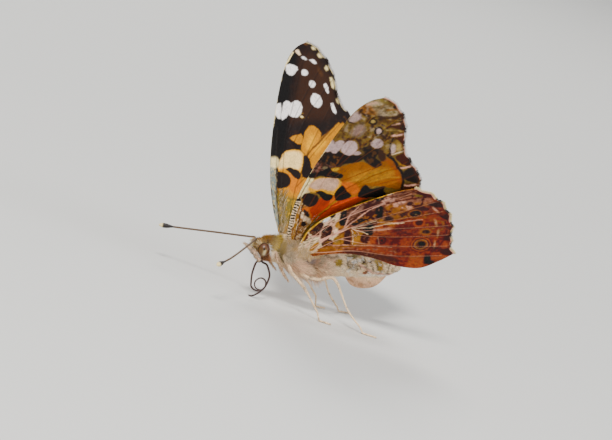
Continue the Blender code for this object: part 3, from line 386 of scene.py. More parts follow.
HIND_UNDER = [
    "patch tan 1.4 | 0.2,-0.5 0.6,4 1.2,6.6 3.4,9.8 6.4,13.2 9,15.2 12,16.6 15,14.4 13,12 11.4,9.6 9.4,8.4 "
     "9.6,4.6 6,2 2.6,0",
    "patch linen 0.5 0 0.85 | 0.2,-0.5 0.6,4 1,6.6 2.6,8.8 3.5,9.6 4.3,8 4.6,6.4 5.2,4.6 4.4,2.8 2.6,0",
    "patch pink 0.4 0 0.7 | 2.4,7.6 3.8,7.4 4.4,6.4 4.3,5.2 3.9,4.8 3.6,6.2 2.7,6.4",
    "fleck greytan 0.5 0.3 | 0.2,-0.5 0.6,4 1.2,6.6 2.6,8.6 4.3,6.2 3.4,3 2.6,0",
    "patch darkmauve 0.35 0 0.9 | 4.6,8 4.8,10.6 5.8,12.4 7,13.8 8.6,14.2 9.2,12.4 9.9,10.2 9.5,8.8 9.7,6.6 "
     "8.8,6.3 7,6.9 5.4,7",
    "fleck pink 0.4 0.36 0.7 | 4.8,8.2 4.8,10.6 5.8,12.4 7.4,12.8 7.8,10.6 6.6,8.2 5.4,7.2",
    "fleck mauve 0.4 0.42 | 6,7.2 7.2,12.6 8.8,12 9.8,10.2 9.4,7",
    "patch ochre 0.4 | 3,2.9 3.4,2.6 3,1.2 2.6,0.6 2.5,2",
    "patch rustlight 0.9 | 11.8,9.6 13.5,7 14,4.8 16,3 19.6,4.2 21.4,5.8 20,8 19.2,11.4 17,13.4 15.6,11.4",
    "patch mauve 0.6 0 0.8 | 8.4,12.6 10,12 13,13.9 15.6,14.4 14,15.9 12,16.2 9.4,14.7",
    "fleck pink 0.5 0.45 0.8 | 8.4,12.4 10,12 13.4,13.2 15.2,14.2 13,15.6 9.4,14.6",
    "fleck maroon 0.4 0.48 | 8.6,13 10,12.6 13.4,13.2 15.2,14.2 13,15.8 9.4,14.8",
    "line umber 0.3 0.16 0.8 | 8.9,13.2 11,14.5 14,15.3",
    "line umber 0.3 0.16 0.8 | 9.6,14.7 11,15.5 12.4,16",
    "patch rust 0.9 | 11.8,9.6 13.5,7 14,4.8 16,4.2 19.6,5.2 19.8,8 18.8,11.6 16.6,13.6 15.6,11.4",
    "fleck maroon 0.7 0.5 0.8 | 12.2,9.6 13.5,7 14,4.8 19.6,5.2 19.8,8 18.8,11.6 16.6,13.6 13.2,13.4",
    "fleck tan 0.6 0.3 | 14.8,10.4 16,8 18,7.5 18.8,11 17,12.8 15,12.6",
    "patch tan 0.5 | 9.4,12.2 10.4,13 11.6,12.2 13,11.8 13,10.6 11,10 9.8,10.9",
    "fleck disc 0.4 0.5 0.7 | 9.4,12.2 10.4,13 11.6,12.2 13,11.8 13,10.6 11,10 9.8,10.9",
    "fleck umber 0.5 0.4 | 9.4,12.2 11.6,12.2 13,11.8 13,10.6 11,10 9.8,10.9",
    "fleck pink 0.5 0.5 0.75 | 8.6,12.6 8.3,13.4 9.4,13.9 12,13.6 12.8,12.6 11.4,12.4 9.6,12.2",
    "patch darkmauve 0.4 0 0.8 | 6.2,10.6 6.8,12.4 7.6,12.8 8.2,12.6 8.4,11.8 7.4,10.4 6.8,9.6",
    "patch pink 0.5 0 0.4 | 5.3,8.4 6.1,9.6 6.5,11 5.8,11.6 5.2,10",
    "fleck maroon 0.35 0.42 | 4.8,8 6.4,9.2 8,12.6 6,12.8 4.8,10.4",
    "patch brown 0.2 | 0.75,3.2 0.8,3.9 1.2,4.1 1.5,3.6 1.4,2.6 1,2.2",
    "patch brown 0.3 | 1.2,4.3 2.5,3.5 2.85,5.2 1.5,5.8",
    "patch umber 0.25 | 0.95,6 1.4,6.7 2.3,6.65 2.75,5.8 2.6,4.6 1.5,4.6 1.1,5.3",
    "fleck brown 0.3 0.35 | 1,6 1.5,6.6 2.2,6.55 2.6,5.6 2.4,4.2 1.4,4.6",
    "patch umber 0.2 | 2.75,5.7 3.1,6.35 3.85,6.2 4.1,5.2 4.25,4.3 3.8,3.5 3.1,3.6 2.85,4.7",
    "fleck brown 0.3 0.3 | 3,5.7 3.7,5.9 3.9,4.4 3.3,3.8",
    "patch white 0.4 | 1.2,7 2,8.1 2.6,8.5 2.9,7.6 2.6,6.8 1.8,6.7",
    "patch ochre 0.4 | 4.1,6.4 4.6,6.2 4.9,7 4.5,7.9 4.1,7.6",
    "patch jet 0.2 | 2.5,8.8 2.9,9.2 3.4,8.8 3.4,8.1 3,7.75 2.6,8.1",
    "patch soot 0.22 | 3.55,9.6 4,10.1 4.6,9.8 4.9,8.7 5.35,7.8 5.25,6.9 4.7,6.9 4.2,7.9 4,8.9",
    "line pink 0.2 0.16 | 3.6,8.4 3.8,9.3 4.3,9.9",
    "spot soot 0.25 50 | 4.5,10.7 0.4,0.22",
    "patch darkbrown 0.25 | 5,10.3 5.3,11 5.9,11.1 6,10.4 5.5,10",
    "spot soot 0.25 45 | 6.1,12.7 0.4,0.2",
    "patch olive_light 0.3 | 6.2,12.9 6.7,13.8 7.2,13.5 6.9,12.9",
    "patch jet 0.25 | 6.7,14.3 7.5,14.7 8.2,14.1 8.6,13.5 8.4,12.9 7.7,12.7 7.4,13.4 6.8,13.5",
    "patch white 0.35 | 8.1,14.5 8.6,15.1 9.4,14.9 9,14.3 8.5,14.1",
    "patch soot 0.22 | 8.2,11.9 9,11.9 9.4,10.9 9.8,9.9 9.4,9.4 8.6,9.9 8.3,10.8",
    "patch darkbrown 0.25 | 7.2,10.1 8.2,11.4 8.5,10.4 9.3,9.4 8.4,9.2 7.5,9.5",
    "patch soot 0.22 | 6,7.9 6.5,9.1 7.2,9.6 8,9.1 8.9,8.7 8,8.1 7,7.6 6.3,7.3",
    "fleck tan 0.3 0.3 | 6,7.5 6.8,9.4 8.4,10.4 9.4,9.6 8.8,8.4 6.6,7.4",
    "patch jet 0.22 | 8.1,8.5 8.8,8.6 9.2,7.7 9.7,6.6 9.4,6.1 8.6,6.6 7.9,7.1 8.3,7.9",
    "patch rustlight 0.3 | 9.5,8 9.9,6.4 10.6,6.5 11.9,7.4 12.1,8.4 10.8,8.2",
    "line pink 0.5 0.4 0.75 | 9.5,7.5 10.8,8 12.2,8.8 13.4,9.6",
    "patch umber 0.3 | 10,9.4 10.1,10.5 10.8,10.6 11.4,9.9 11.2,9.3",
    "patch ochre 0.4 0 0.8 | 9.2,9.2 9.6,9.8 10.2,9.4 12,9.4 11.6,8.9 10,8.8",
    "patch ochre 0.3 | 7,6.2 7.6,6.4 8.6,6.1 8.5,5 7.6,4.8",
    "patch maroon 0.25 | 8.4,6.2 9,6.1 9.6,6 9.7,4.9 8.9,4.7 8.3,5.2",
    "patch darkbrown 0.22 | 5.7,6.1 6.3,6.4 6.9,5.4 7.3,4 7,3.6 6.4,3.7 6.1,4.8",
    "patch ochre 0.3 | 4.9,4.2 5.6,5.4 6,4.6 6.3,3.6 5.4,3.1",
    "patch olive 0.3 | 5,3.9 5.5,4.4 5.8,3.8 5.4,3.4",
    "patch ochre 0.3 | 7.4,4.6 8.4,4.7 8.2,4.1 7.6,3.9",
    "patch darkbrown 0.25 | 3.5,2.8 3.8,3.8 4.6,3.9 5.1,3.2 5,2.5 4.2,2.1",
    "fleck ochre 0.3 0.3 0.7 | 3.6,2.8 4,3.6 4.9,3.3 4.6,2.4",
    "patch rustlight 0.35 | 9.6,6.2 10.6,6.2 10.4,4.9 9.7,4.7",
    "patch brownred 0.35 | 10.5,6.2 11.4,6.9 12.6,6.9 12.8,4.9 10.8,4.8",
    "patch rustlight 0.6 0 0.7 | 13.7,7.4 14.9,7.6 15.4,6.4 15,5.2 14,4.9",
    "patch rust 0.7 0 0.9 | 11.6,7.4 11.8,9 13,10 15.2,10 15.9,8.4 15.2,7.2 13.6,6.6",
    "patch maroon 0.8 0 0.8 | 12,8.8 13,9.7 14.6,9.8 15.4,9 15,7.8 13.4,7.2 12.2,7.4",
    "patch maroon 0.45 0 0.85 | 12.7,7 13.9,6.9 13.8,4.9 12.8,4.8",
    "fleck rust 0.4 0.42 | 10.2,5 10.4,7 12,9.2 15.2,9.6 15.4,7.6 14,4.9",
    "spot maroon 0.25 | 11.25,5.8 0.72,0.66",
    "spot brownred 0.2 | 11.25,5.8 0.42,0.36",
    "spot soot 0.2 | 11.3,5.75 0.2,0.2",
    "line pink 0.15 0.1 0.35 | 10.55,6.2 11.1,5",
    "spot darkbrown 0.2 | 12.3,13.4 0.42,0.42",
    "line maroon 0.25 0.2 | 9.3,12.6 10.6,13.4 12.2,14.4 13.4,14.9",
    "line maroon 0.25 0.16 | 9.3,13.8 10.6,14.6 12.2,15.6",
    "patch maroon 0.3 | 12.3,15.5 13,16 14.6,15.9 15.5,15.3 14.4,15.2 13.2,15.2",
    "spot olive 0.25 5 | 12.9,15.1 0.5,0.16",
    "patch umber 0.3 | 14.8,14.1 15.6,14.8 16.8,14.6 17.4,13.9 16.6,13.6 15.4,13.7",
    "patch maroon 0.35 | 12.9,13.3 14,13.6 15.4,13.2 15,12.6 13.4,12.7",
    "patch umber 0.3 | 17.2,12.6 18.2,12.8 19,12.1 18.8,11.6 17.4,12",
    "spot maroon 0.25 0 0.8 | 13.75,11.75 1.15,1.08",
    "spot tan 0.2 | 13.75,11.75 0.97,0.9",
    "spot maroon 0.2 | 13.78,11.78 0.8,0.72",
    "spot jet 0.25 | 13.8,11.8 0.64,0.58",
    "spot greytan 0.2 | 13.95,11.6 0.16,0.12",
    "spot rustlight 0.3 | 15,10.35 0.85,0.78",
    "spot maroon 0.25 | 15,10.35 0.58,0.5",
    "spot rustlight 0.3 | 16.55,8.9 0.98,0.8",
    "spot tan 0.3 | 16.55,8.9 0.8,0.62",
    "spot umber 0.25 | 16.6,8.9 0.55,0.4",
    "spot maroon 0.22 0 0.8 | 16.8,6.5 1.58,1.48",
    "spot rustlight 0.22 | 16.8,6.5 1.42,1.32",
    "spot maroon 0.2 | 16.8,6.5 1.2,1.1",
    "spot mauve 0.2 | 16.8,6.5 1,0.92",
    "spot tan 0.2 | 16.8,6.5 0.9,0.84",
    "spot brown 0.25 | 16.8,6.5 0.72,0.68",
    "spot jet 0.2 | 16.85,6.5 0.52,0.5",
    "patch rust 0.5 | 12.8,4.8 14,5.2 15.8,5.2 16.4,3.8 16.2,2.2 13.8,2 13,3.4",
    "fleck maroon 0.5 0.5 0.8 | 13,4.7 15.8,5 16.2,3.6 15.8,2.2 13.6,2.2",
    "patch rustlight 0.6 0 0.9 | 16.2,4.4 17.6,4.6 18.2,3.6 17.4,2.8 16.4,2.8",
    "fleck tan 0.5 0.4 0.7 | 16.2,4.4 17.6,4.6 18.2,3.6 17.4,2.8 16.4,2.8",
    "patch soot 0.3 | 18.1,4.9 18.9,5 19.2,4.1 20.1,3.9 19.6,3.3 18.5,3.3 18.2,4",
    "patch soot 0.3 | 19.2,10.3 20,10.8 20.6,10.2 19.8,9.9",
    "patch umber 0.3 | 19.4,8.7 20.4,8.8 20.7,8.2 19.8,7.9",
    "patch maroon 0.3 | 19.8,6 21,6.8 22.3,6 22,5.5 20.6,5.4",
    "patch soot 0.3 | 20.9,6.2 21.6,6.3 22.2,5.9 21.6,5.6",
    "line maroon 0.35 0.22 | 18.9,5.6 19.6,8 19.2,10.2 18.4,11.4",
    "line maroon 0.4 0.3 0.8 | 15.6,12.2 17.2,12.4 18.8,12.2",
    "line maroon 0.4 0.3 0.8 | 16,10.6 17.8,10.6 19.6,10.4",
    "line maroon 0.4 0.3 0.8 | 17.6,8.7 19,8.6 20.6,8.3",
    "line maroon 0.4 0.5 0.8 | 18.4,6.4 20,6.2 22,5.8",
    "spot pink 0.25 -35 0.7 | 16.2,13.2 0.6,0.18",
    "spot hairpink 0.35 -55 0.45 | 17.2,10.95 0.5,0.14",
    "spot hairpink 0.35 -70 0.45 | 18.35,9 0.55,0.12",
    "spot hairpink 0.35 -75 0.45 | 18.65,6.95 0.45,0.12",
    "line pink 0.2 0.2 | 17.9,13.6 18.6,12.6",
    "line pink 0.2 0.24 | 19,11.8 19.5,11",
    "line pink 0.2 0.24 | 20.2,9.8 20.4,9.2",
    "line pink 0.2 0.24 | 20.7,7.8 21,7.3",
    "patch tan 0.3 | 3.4,1.6 5,2.7 7.4,3.5 8,2.8 6,2.2 4.4,1.2",
    "patch rust 0.45 0 0.8 | 7.6,3.4 10,4.2 13.6,4.6 13.8,3.4 10.5,3.3 8,3",
    "fleck mauve 0.4 0.45 0.8 | 5,2.8 8,3.8 13.6,4.5 13.8,3.4 10.5,3.3 6,2.4",
    # Painted shadow: a dark mauve band just inside the left hindwing's inner edge, at the fold beside the
    # abdomen
    "patch darkmauve 0.6 0 0.9 | 7,2.8 9.6,3.3 12,3.4 14.6,3.2 14.4,2.2 11.5,2.2 7.4,2.2",
    "line pink 0.18 0.36 | 3.2,3.2 4.4,4.9 5.5,6.4",
    "line pink 0.14 0.14 | 5.5,6.4 6.3,8.4 7.4,10.6 8.7,12.2",
    "line pink 0.14 0.12 | 5.5,6.4 5.4,7.4 5.3,9 5.8,11",
    "line linen 0.12 0.1 0.7 | 5.6,6.5 6.6,6.9 8,8.2 9.2,9.2",
    "line linen 0.14 0.1 0.75 | 6.4,6.8 8.3,7.5 11,9 13,9.8",
    "line pink 0.16 0.1 0.8 | 9.4,9 11.4,9.3 13.4,10.2 15.2,11",
    "line linen 0.12 0.12 | 6.6,6.7 8.2,6.6 9,6.3",
    "line linen 0.12 0.1 0.7 | 6.6,6.4 7.1,5.6 7.6,4",
    "line pink 0.15 0.24 | 1.5,3.4 2.9,3.9",
    "line pink 0.14 0.12 | 2.65,6.4 2.7,4.6 3.1,3.4",
    "line pink 0.2 0.13 0.7 | 4.6,2.7 7.5,3.75 10,4.45 13,4.95",
    "patch mauve 0.5 0 0.8 | 3.4,-0.6 5,0.9 7.6,2 11.5,2.1 14.8,1.7 18.2,2.1 21.6,5 20.8,1 17,-4.4 12,-5 "
     "7,-1",
    "fleck hairpink 0.6 0.4 0.6 | 3.4,-0.6 7.6,1.8 14.8,1.5 18.2,1.9 20.8,3.6 17,-4.4 12,-5 7,-1",
    "line buff 0.14 0.2 | 0.9,2 1.2,4.9 2.6,7.9 5.8,11.6 9.4,14.8",
]
HIND_UPPER = [
    "patch brown 1.6 | 1,0 0.8,5 3.2,8.6 6.5,11.8 8.2,10.4 6,7.6 5.2,4.6 8,2.8 5,0.8",
    "patch umber 0.6 | 6,9.6 8.4,10.6 9.4,12 8.6,13.4 6.4,12",
    "patch tan 1.2 | 3.4,-0.4 7.5,2.9 13.8,3.5 19.6,5.1 22,5 19,-3 12,-5 7,0",
    "fleck brown 1.2 0.45 0.8 | 3.4,-0.4 7.5,2.9 13.8,3.5 19.6,5.1 20,3 12,0 7,0",
    "patch hairpink 2 0 0.85 | 5,-0.6 9,0.9 13.8,1.4 18.6,2.6 21,2 19,-4 12,-6 7,-2",
    "fleck tan 0.8 0.3 0.45 | 3.4,-0.4 7.5,2.9 13.8,3.3 19.6,4.9 22,5 19,-3 12,-5 7,0",
    "line tan 0.6 0.3 0.5 | 7,1.6 11,0.6 15.5,0.8 20,3.4",
    "line linen 0.9 0.5 0.5 | 9.6,-0.6 13,-2.4 16,-2.4 18.6,0.4",
    "spot soot 0.25 | 12.4,13 0.5,0.46",
    "spot soot 0.25 | 13.8,11.5 0.66,0.6",
    "spot soot 0.25 | 15,9.9 0.7,0.62",
    "spot soot 0.25 | 15.9,8.2 0.62,0.56",
    "spot soot 0.25 | 16.5,6.5 0.5,0.46",
    "line soot 0.3 0.42 | 13,15 14.6,14.4 15.6,14",
    "line soot 0.3 0.42 | 15.6,13.4 16.8,12.6 17.4,11.9",
    "line soot 0.3 0.42 | 17.2,11.3 18,10.5 18.5,9.7",
    "line soot 0.3 0.42 | 18.2,9.2 18.9,8.4 19.3,7.5",
    "line soot 0.3 0.4 | 18.6,7 19.4,6.2 19.9,5.6",
    "spot soot 0.3 -35 | 16.4,14.2 0.5,0.26",
    "spot soot 0.3 -50 | 18.4,12.2 0.5,0.26",
    "spot soot 0.3 -60 | 19.6,10.2 0.5,0.26",
    "spot soot 0.3 -65 | 20.3,8.2 0.5,0.26",
    "spot grey 0.25 -60 | 19.8,5.3 0.5,0.2",
]


def colour_property(name, hexcode, description):
    """Colour that the panel shows, from a screen colour."""
    screen = [int(hexcode[i:i + 2], 16) / 255 for i in (0, 2, 4)]
    linear = [c / 12.92 if c <= 0.04045 else ((c + 0.055) / 1.055) ** 2.4 for c in screen]
    grey = 0.2126 * linear[0] + 0.7152 * linear[1] + 0.0722 * linear[2]
    richer = min(SATURATION, grey / (grey - min(linear)))
    linear = [min(grey + richer * (c - grey), 1.0) for c in linear]
    return bpy.props.FloatVectorProperty(name=name, description=description, default=linear, size=3,
                                         min=0.0, max=1.0, subtype="COLOR")


def length_property(name, default, low, high, description):
    return bpy.props.FloatProperty(name=name, description=description, default=default, min=low, max=high,
                                   unit="LENGTH", precision=5)


class PaintedLadyColours(bpy.types.PropertyGroup):
    """Colours of the scales and hair."""
    soot: colour_property("Soot", "160f0e", "Blackish brown of the bars")
    jet: colour_property("Jet", "0d0b0b", "Deepest black of the blots")
    umber: colour_property("Umber", "2d1c14", "Dark brown between the bars")
    darkbrown: colour_property("Dark brown", "352017", "Mottled spots of the hindwing's underside")
    darkmauve: colour_property("Dark mauve", "3a2724", "Purplish mottling of the hindwing's underside")
    brown: colour_property("Brown", "4e331f", "Middle brown")
    brownred: colour_property("Red brown", "592d1c", "Fold beside the abdomen")
    maroon: colour_property("Maroon", "35160e", "Rings and marginal lobes")
    rust: colour_property("Rust", "70361a", "Rusty outer part of the hindwing's underside")
    rustlight: colour_property("Light rust", "84441d", "Orange brown of the undersides")
    apex: colour_property("Tip brown", "63502f", "Underside of the forewing's tip")
    apex_dark: colour_property("Dark tip brown", "38260f", "Mottling of the forewing's tip")
    sienna: colour_property("Sienna", "8c5f42", "Rusty hair below the eye")
    vermilion: colour_property("Vermilion", "9a2e10", "Red of the forewing's underside")
    flame: colour_property("Flame", "b03606", "Bright strip below the cell")
    orange: colour_property("Orange", "b87800", "Golden orange of the upper sides")
    tangerine: colour_property("Tangerine", "c05a00", "Redder orange round the cell spots")
    yellow: colour_property("Yellow", "dc9c26", "Edge of the pale cell patch")
    disc: colour_property("Disc", "884e14", "Ochre orange of the forewing's underside")
    disclight: colour_property("Light disc", "a16b18", "Streak in the disc")
    ochre: colour_property("Ochre", "8e6630", "Ochre hair and scales")
    olive: colour_property("Olive", "685b34", "Hair at the wing bases")
    olive_light: colour_property("Light olive", "9c8658", "Pale olive hair")
    greypale: colour_property("Pale grey", "b6a58e", "Greyish white hair")
    lilac_pale: colour_property("Pale lilac", "b0a19c", "Cold white hair")
    tan: colour_property("Tan", "7b5331", "Pale brown ground of the hindwing's underside")
    mauve: colour_property("Mauve", "76534a", "Upper zone of the hindwing's underside")
    buff: colour_property("Buff", "b9924e", "Sandy hair")
    cream: colour_property("Cream", "efddae", "Cream patches")
    linen: colour_property("Linen", "e6ceb0", "Warm white scales and hair")
    hairpink: colour_property("Hair pink", "cdac94", "Long pinkish hair of the thorax's side")
    gold: colour_property("Gold", "937a3a", "Golden olive hair and scales")
    white: colour_property("White", "efebe8", "White spots")
    pink: colour_property("Pink", "c99c8c", "Pinkish white of the wing bases and palps")
    blush: colour_property("Blush", "c0a08c", "Pale cell patch of the underside")
    rose: colour_property("Rose", "b09a98", "Pale bar of the underside")
    lilac: colour_property("Lilac", "856773", "Cold scales between the brown ones")
    grey: colour_property("Grey", "6c7370", "Grey of the front edge")
    greytan: colour_property("Grey tan", "655845", "Patch near the tip")
    greypink: colour_property("Grey pink", "7c655f", "Front spots near the tip")
    bristle: colour_property("Bristle", "231a17", "Dark bristles and feelers")
    tongue: colour_property("Tongue", "220b08", "Coiled tongue")


class PaintedLadySettings(bpy.types.PropertyGroup):
    """Sizes that a user may change."""
    membrane: length_property("Wing thickness", 0.00013, 0.00005, 0.0004, "Thickness between the veins")
    vein_rise: length_property("Vein height", 0.00007, 0.0, 0.0002, "How far a vein stands out of each face")
    fur_length: length_property("Fur length", 0.00115, 0.0003, 0.003, "Length of the thorax's long hair")
    fringe_length: length_property("Fringe length", 0.00042, 0.0001, 0.001, "Length of the wings' fringe")
    ragged: length_property("Ragged edges", 0.00006, 0.0, 0.0004, "How far the scales blur a mark's edge")
    colours: bpy.props.PointerProperty(type=PaintedLadyColours)


def settings():
    return bpy.context.scene.painted_lady


def shade(name):
    """Linear colour of a pigment."""
    return np.array(getattr(settings().colours, name)[:], float)


def toward(colours, target, share):
    """Colours moved by a share of the way to a target."""
    return colours + share * (target - colours)


# Geometry helpers

def to_world(points):
    """Body frame to the frame of the floor, in millimetres."""
    return turn(points) + np.array((-ORIGIN_BACK, 0.0, HINGE_HEIGHT))


def turn(vectors):
    """Body directions tipped to the frame of the floor."""
    v = np.asarray(vectors, float)
    x = v[..., 0] * math.cos(BODY_TILT) - v[..., 2] * math.sin(BODY_TILT)
    z = v[..., 0] * math.sin(BODY_TILT) + v[..., 2] * math.cos(BODY_TILT)
    return np.stack((x, v[..., 1], z), -1)


def unit(v):
    return v / np.maximum(np.linalg.norm(v, axis=-1, keepdims=True), 1e-9)


def flattened(vectors, normals):
    """Unit vectors with their share along the normals taken out."""
    return unit(vectors - normals * np.einsum("ij,ij->i", vectors, normals)[:, None])


def runs(path):
    """Distance of each point of a path from its start."""
    return np.concatenate(([0.0], np.cumsum(np.linalg.norm(np.diff(path, axis=0), axis=1))))


def smooth_path(points, step, closed=False):
    """Smooth curve through the points, resampled at about the step."""
    pts = np.asarray(points, float)
    if closed:
        ends = np.vstack((pts[-1], pts, pts[0], pts[1]))
    else:
        ends = np.vstack((2 * pts[0] - pts[1], pts, 2 * pts[-1] - pts[-2]))
    t = np.linspace(0, 1, 16, endpoint=False)[:, None]
    dense = []
    for p0, p1, p2, p3 in zip(ends, ends[1:], ends[2:], ends[3:]):
        dense.append(0.5 * (2 * p1 + (p2 - p0) * t + (2 * p0 - 5 * p1 + 4 * p2 - p3) * t ** 2
                            + (3 * p1 - p0 - 3 * p2 + p3) * t ** 3))
    dense = np.vstack(dense + [ends[-2][None]])
    return resampled(dense, max(1, round(runs(dense)[-1] / step)))


def resampled(path, count):
    along = runs(path)
    wanted = np.linspace(0, along[-1], count + 1)
    return np.column_stack([np.interp(wanted, along, column) for column in path.T])


def on_path(path, t):
    """Points of a path at shares t of its length."""
    along = runs(path)
    return np.stack([np.interp(t * along[-1], along, column) for column in path.T], -1)


def path_distance(p, path):
    """Distance of every point from a path."""
    best = np.full(len(p), 1e9)
    for q, r in zip(path, path[1:]):
        d = r - q
        t = np.clip(((p - q) @ d) / max(d @ d, 1e-12), 0, 1)
        gap = p - q - t[:, None] * d
        best = np.minimum(best, np.einsum("ij,ij->i", gap, gap))
    return np.sqrt(best)


def inside(p, ring):
    """Whether each point lies in a closed outline."""
    odd = np.zeros(len(p), bool)
    for (x0, y0), (x1, y1) in zip(ring, ring[1:]):
        crosses = (y0 > p[:, 1]) != (y1 > p[:, 1])
        where = x0 + (p[:, 1] - y0) * (x1 - x0) / ((y1 - y0) or 1e-9)
        odd ^= crosses & (p[:, 0] < where)
    return odd


def grain(p, size, seed):
    """Smooth random values from -1 to 1 over points, with lumps of about the size."""
    rng = np.random.default_rng(seed)
    table = rng.uniform(-1, 1, (64, 64))
    q = np.asarray(p, float) / size + 1000
    cell = np.floor(q).astype(int)
    f = q - cell
    f = f * f * (3 - 2 * f)
    i, j = cell[:, 0] % 64, cell[:, 1] % 64
    i1, j1 = (i + 1) % 64, (j + 1) % 64
    low = table[i, j] * (1 - f[:, 0]) + table[i1, j] * f[:, 0]
    high = table[i, j1] * (1 - f[:, 0]) + table[i1, j1] * f[:, 0]
    return low * (1 - f[:, 1]) + high * f[:, 1]


def step_between(x, low, high):
    t = np.clip((x - low) / (high - low), 0, 1)
    return t * t * (3 - 2 * t)


# Painting

class Painting:
    """Colours laid over one another on points of a plan in millimetres."""

    def __init__(self, points, ground, ragged):
        self.plan = np.asarray(points, float)
        coarse = np.column_stack((grain(self.plan, 0.62, 3), grain(self.plan, 0.62, 4)))
        fine = np.column_stack((grain(self.plan, 0.21, 5), grain(self.plan, 0.21, 6)))
        self.points = self.plan + ragged * (coarse + 0.7 * fine)
        reach = np.linalg.norm(self.plan, axis=1)
        self.streaks = np.column_stack((np.arctan2(self.plan[:, 1], self.plan[:, 0]) * 16, reach * 0.5))
        self.colour = np.tile(shade(ground), (len(points), 1))

    def lay(self, share, name, where=slice(None)):
        self.colour[where] += share[:, None] * (shade(name) - self.colour[where])

    def near(self, low, high, margin):
        p = self.points
        keep = (p[:, 0] > low[0] - margin) & (p[:, 0] < high[0] + margin)
        keep &= (p[:, 1] > low[1] - margin) & (p[:, 1] < high[1] + margin)
        return np.nonzero(keep)[0]

    def marks(self, lines):
        """The marks of a list, one over another."""
        for line in lines:
            look, outline = line.split("|")
            kind, name, *numbers = look.split()
            shape = np.array([pair.split(",") for pair in outline.split()], float)
            self.mark(kind, name, shape, *(float(number) for number in numbers))

    def mark(self, kind, name, shape, soft, size=0.0, strength=1.0):
        """One patch, spot, line or dusting of flecks, soft at its edge."""
        if kind == "spot":
            centre, (rx, ry) = shape
            where = self.near(centre - max(rx, ry), centre + max(rx, ry), soft)
            c, s = math.cos(math.radians(size)), math.sin(math.radians(size))
            d = self.points[where] - centre
            x, y = d[:, 0] * c + d[:, 1] * s, -d[:, 0] * s + d[:, 1] * c
            gap = (np.hypot(x / rx, y / ry) - 1) * min(rx, ry)
        elif kind == "line":
            path = smooth_path(shape, 0.4)
            where = self.near(path.min(0), path.max(0), size + soft)
            gap = path_distance(self.points[where], path) - size / 2
        else:
            ring = smooth_path(shape, 0.45, closed=True)
            where = self.near(ring.min(0), ring.max(0), soft)
            p = self.points[where]
            gap = path_distance(p, ring) * np.where(inside(p, ring), -1, 1)
        share = strength * (1 - step_between(gap, -soft / 2, soft / 2))
        if kind == "fleck":
            rough = grain(self.streaks[where], 0.33, 31) + 0.7 * grain(p, 0.24, 32)
            share *= step_between(rough, 0.45 - 1.5 * size, 1.45 - 1.5 * size)
        self.lay(share, name, where)


# Materials

class Wire:
    """A shader socket; Python's operators join sockets through Math nodes."""

    def __init__(self, finish, socket):
        self.finish = finish
        self.socket = socket

    def math(self, operation, *values):
        return self.finish.node("ShaderNodeMath", {"operation": operation}, dict(enumerate(values)))

    def __add__(self, other):
        return self.math("ADD", self, other)

    def __rsub__(self, other):
        return self.math("SUBTRACT", other, self)

    def __mul__(self, other):
        return self.math("MULTIPLY", self, other)

    __radd__ = __add__
    __rmul__ = __mul__


class Finish:
    """A material and its Principled shader."""

    def __init__(self, name, **constants):
        self.material = bpy.data.materials.new(name)
        self.material.use_nodes = True
        self.nodes = self.material.node_tree.nodes
        self.links = self.material.node_tree.links
        self.shader = self.nodes["Principled BSDF"]
        self.paint(**constants)

    def plug(self, socket, value):
        if isinstance(value, Wire):
            self.links.new(value.socket, socket)
        else:
            socket.default_value = value

    def node(self, kind, options=None, values=None, output=0):
        made = self.nodes.new(kind)
        for key, value in (options or {}).items():
            setattr(made, key, value)
        for key, value in (values or {}).items():
            self.plug(made.inputs[key], value)
        return Wire(self, made.outputs[output])

    def place(self):
        return self.node("ShaderNodeTexCoord", output="Object")

    def noise(self, scale, detail, vector=None):
        values = {"Vector": vector or self.place(), "Scale": scale, "Detail": detail}
        return self.node("ShaderNodeTexNoise", {}, values)

    def cells(self, scale, vector=None):
        """Cells over the surface: a random value for each, and the distance to its middle."""
        values = {"Vector": vector or self.place(), "Scale": scale}
        colour = self.node("ShaderNodeTexVoronoi", {}, values, "Color")
        tint = self.node("ShaderNodeSeparateColor", {}, {0: colour})
        return tint, self.node("ShaderNodeTexVoronoi", {}, values, "Distance")

    def mix(self, share, first, second, blend="MIX"):
        return self.node("ShaderNodeMix", {"data_type": "RGBA", "blend_type": blend},
                         {0: share, 6: first, 7: second}, 2)

    def toned(self, attribute, level):
        """The mesh's own colours, made lighter or darker by a level."""
        base = self.node("ShaderNodeAttribute", {"attribute_name": attribute}, output="Color")
        tone = self.node("ShaderNodeCombineColor", {}, {0: level, 1: level, 2: level})
        return self.mix(1.0, base, tone, "MULTIPLY")

    def bump(self, height, distance, strength):
        return self.node("ShaderNodeBump", {}, {"Height": height, "Distance": distance, "Strength": strength})

    def paint(self, **inputs):
        for key, value in inputs.items():
            self.plug(self.shader.inputs[key.replace("_", " ")], value)
        return self.material


def wing_finish(name):
    """Overlapping scales: each a little lighter or darker, with the rows and the dust in the relief."""
    finish = Finish(name, Specular_IOR_Level=0.16)
    plan = finish.node("ShaderNodeUVMap", {"uv_map": "wing_plan"})
    stretched = finish.node("ShaderNodeMapping", {}, {"Vector": plan, "Scale": (1.0, 0.55, 1.0)})
    tint, rows = finish.cells(360.0, stretched)
    dust = finish.noise(70.0, 4.0, plan)
    relief = rows * 0.7 + dust * 0.5
    return finish.paint(Base_Color=finish.toned("scale_colour", 0.74 + tint * 0.34 + dust * 0.34),
                        Roughness=0.55 + tint * 0.3, Normal=finish.bump(relief, 0.00003, 0.55))


def coat_finish(name, roughness=0.62):
    """Hair and hair-like scales, coloured tuft by tuft."""
    finish = Finish(name, Sheen_Weight=0.2, Sheen_Roughness=0.4, Specular_IOR_Level=0.35)
    streak = finish.noise(5200.0, 3.0)
    return finish.paint(Base_Color=finish.toned("coat_colour", 0.78 + streak * 0.44),
                        Roughness=roughness + streak * 0.2, Normal=finish.bump(streak, 0.00002, 0.4))


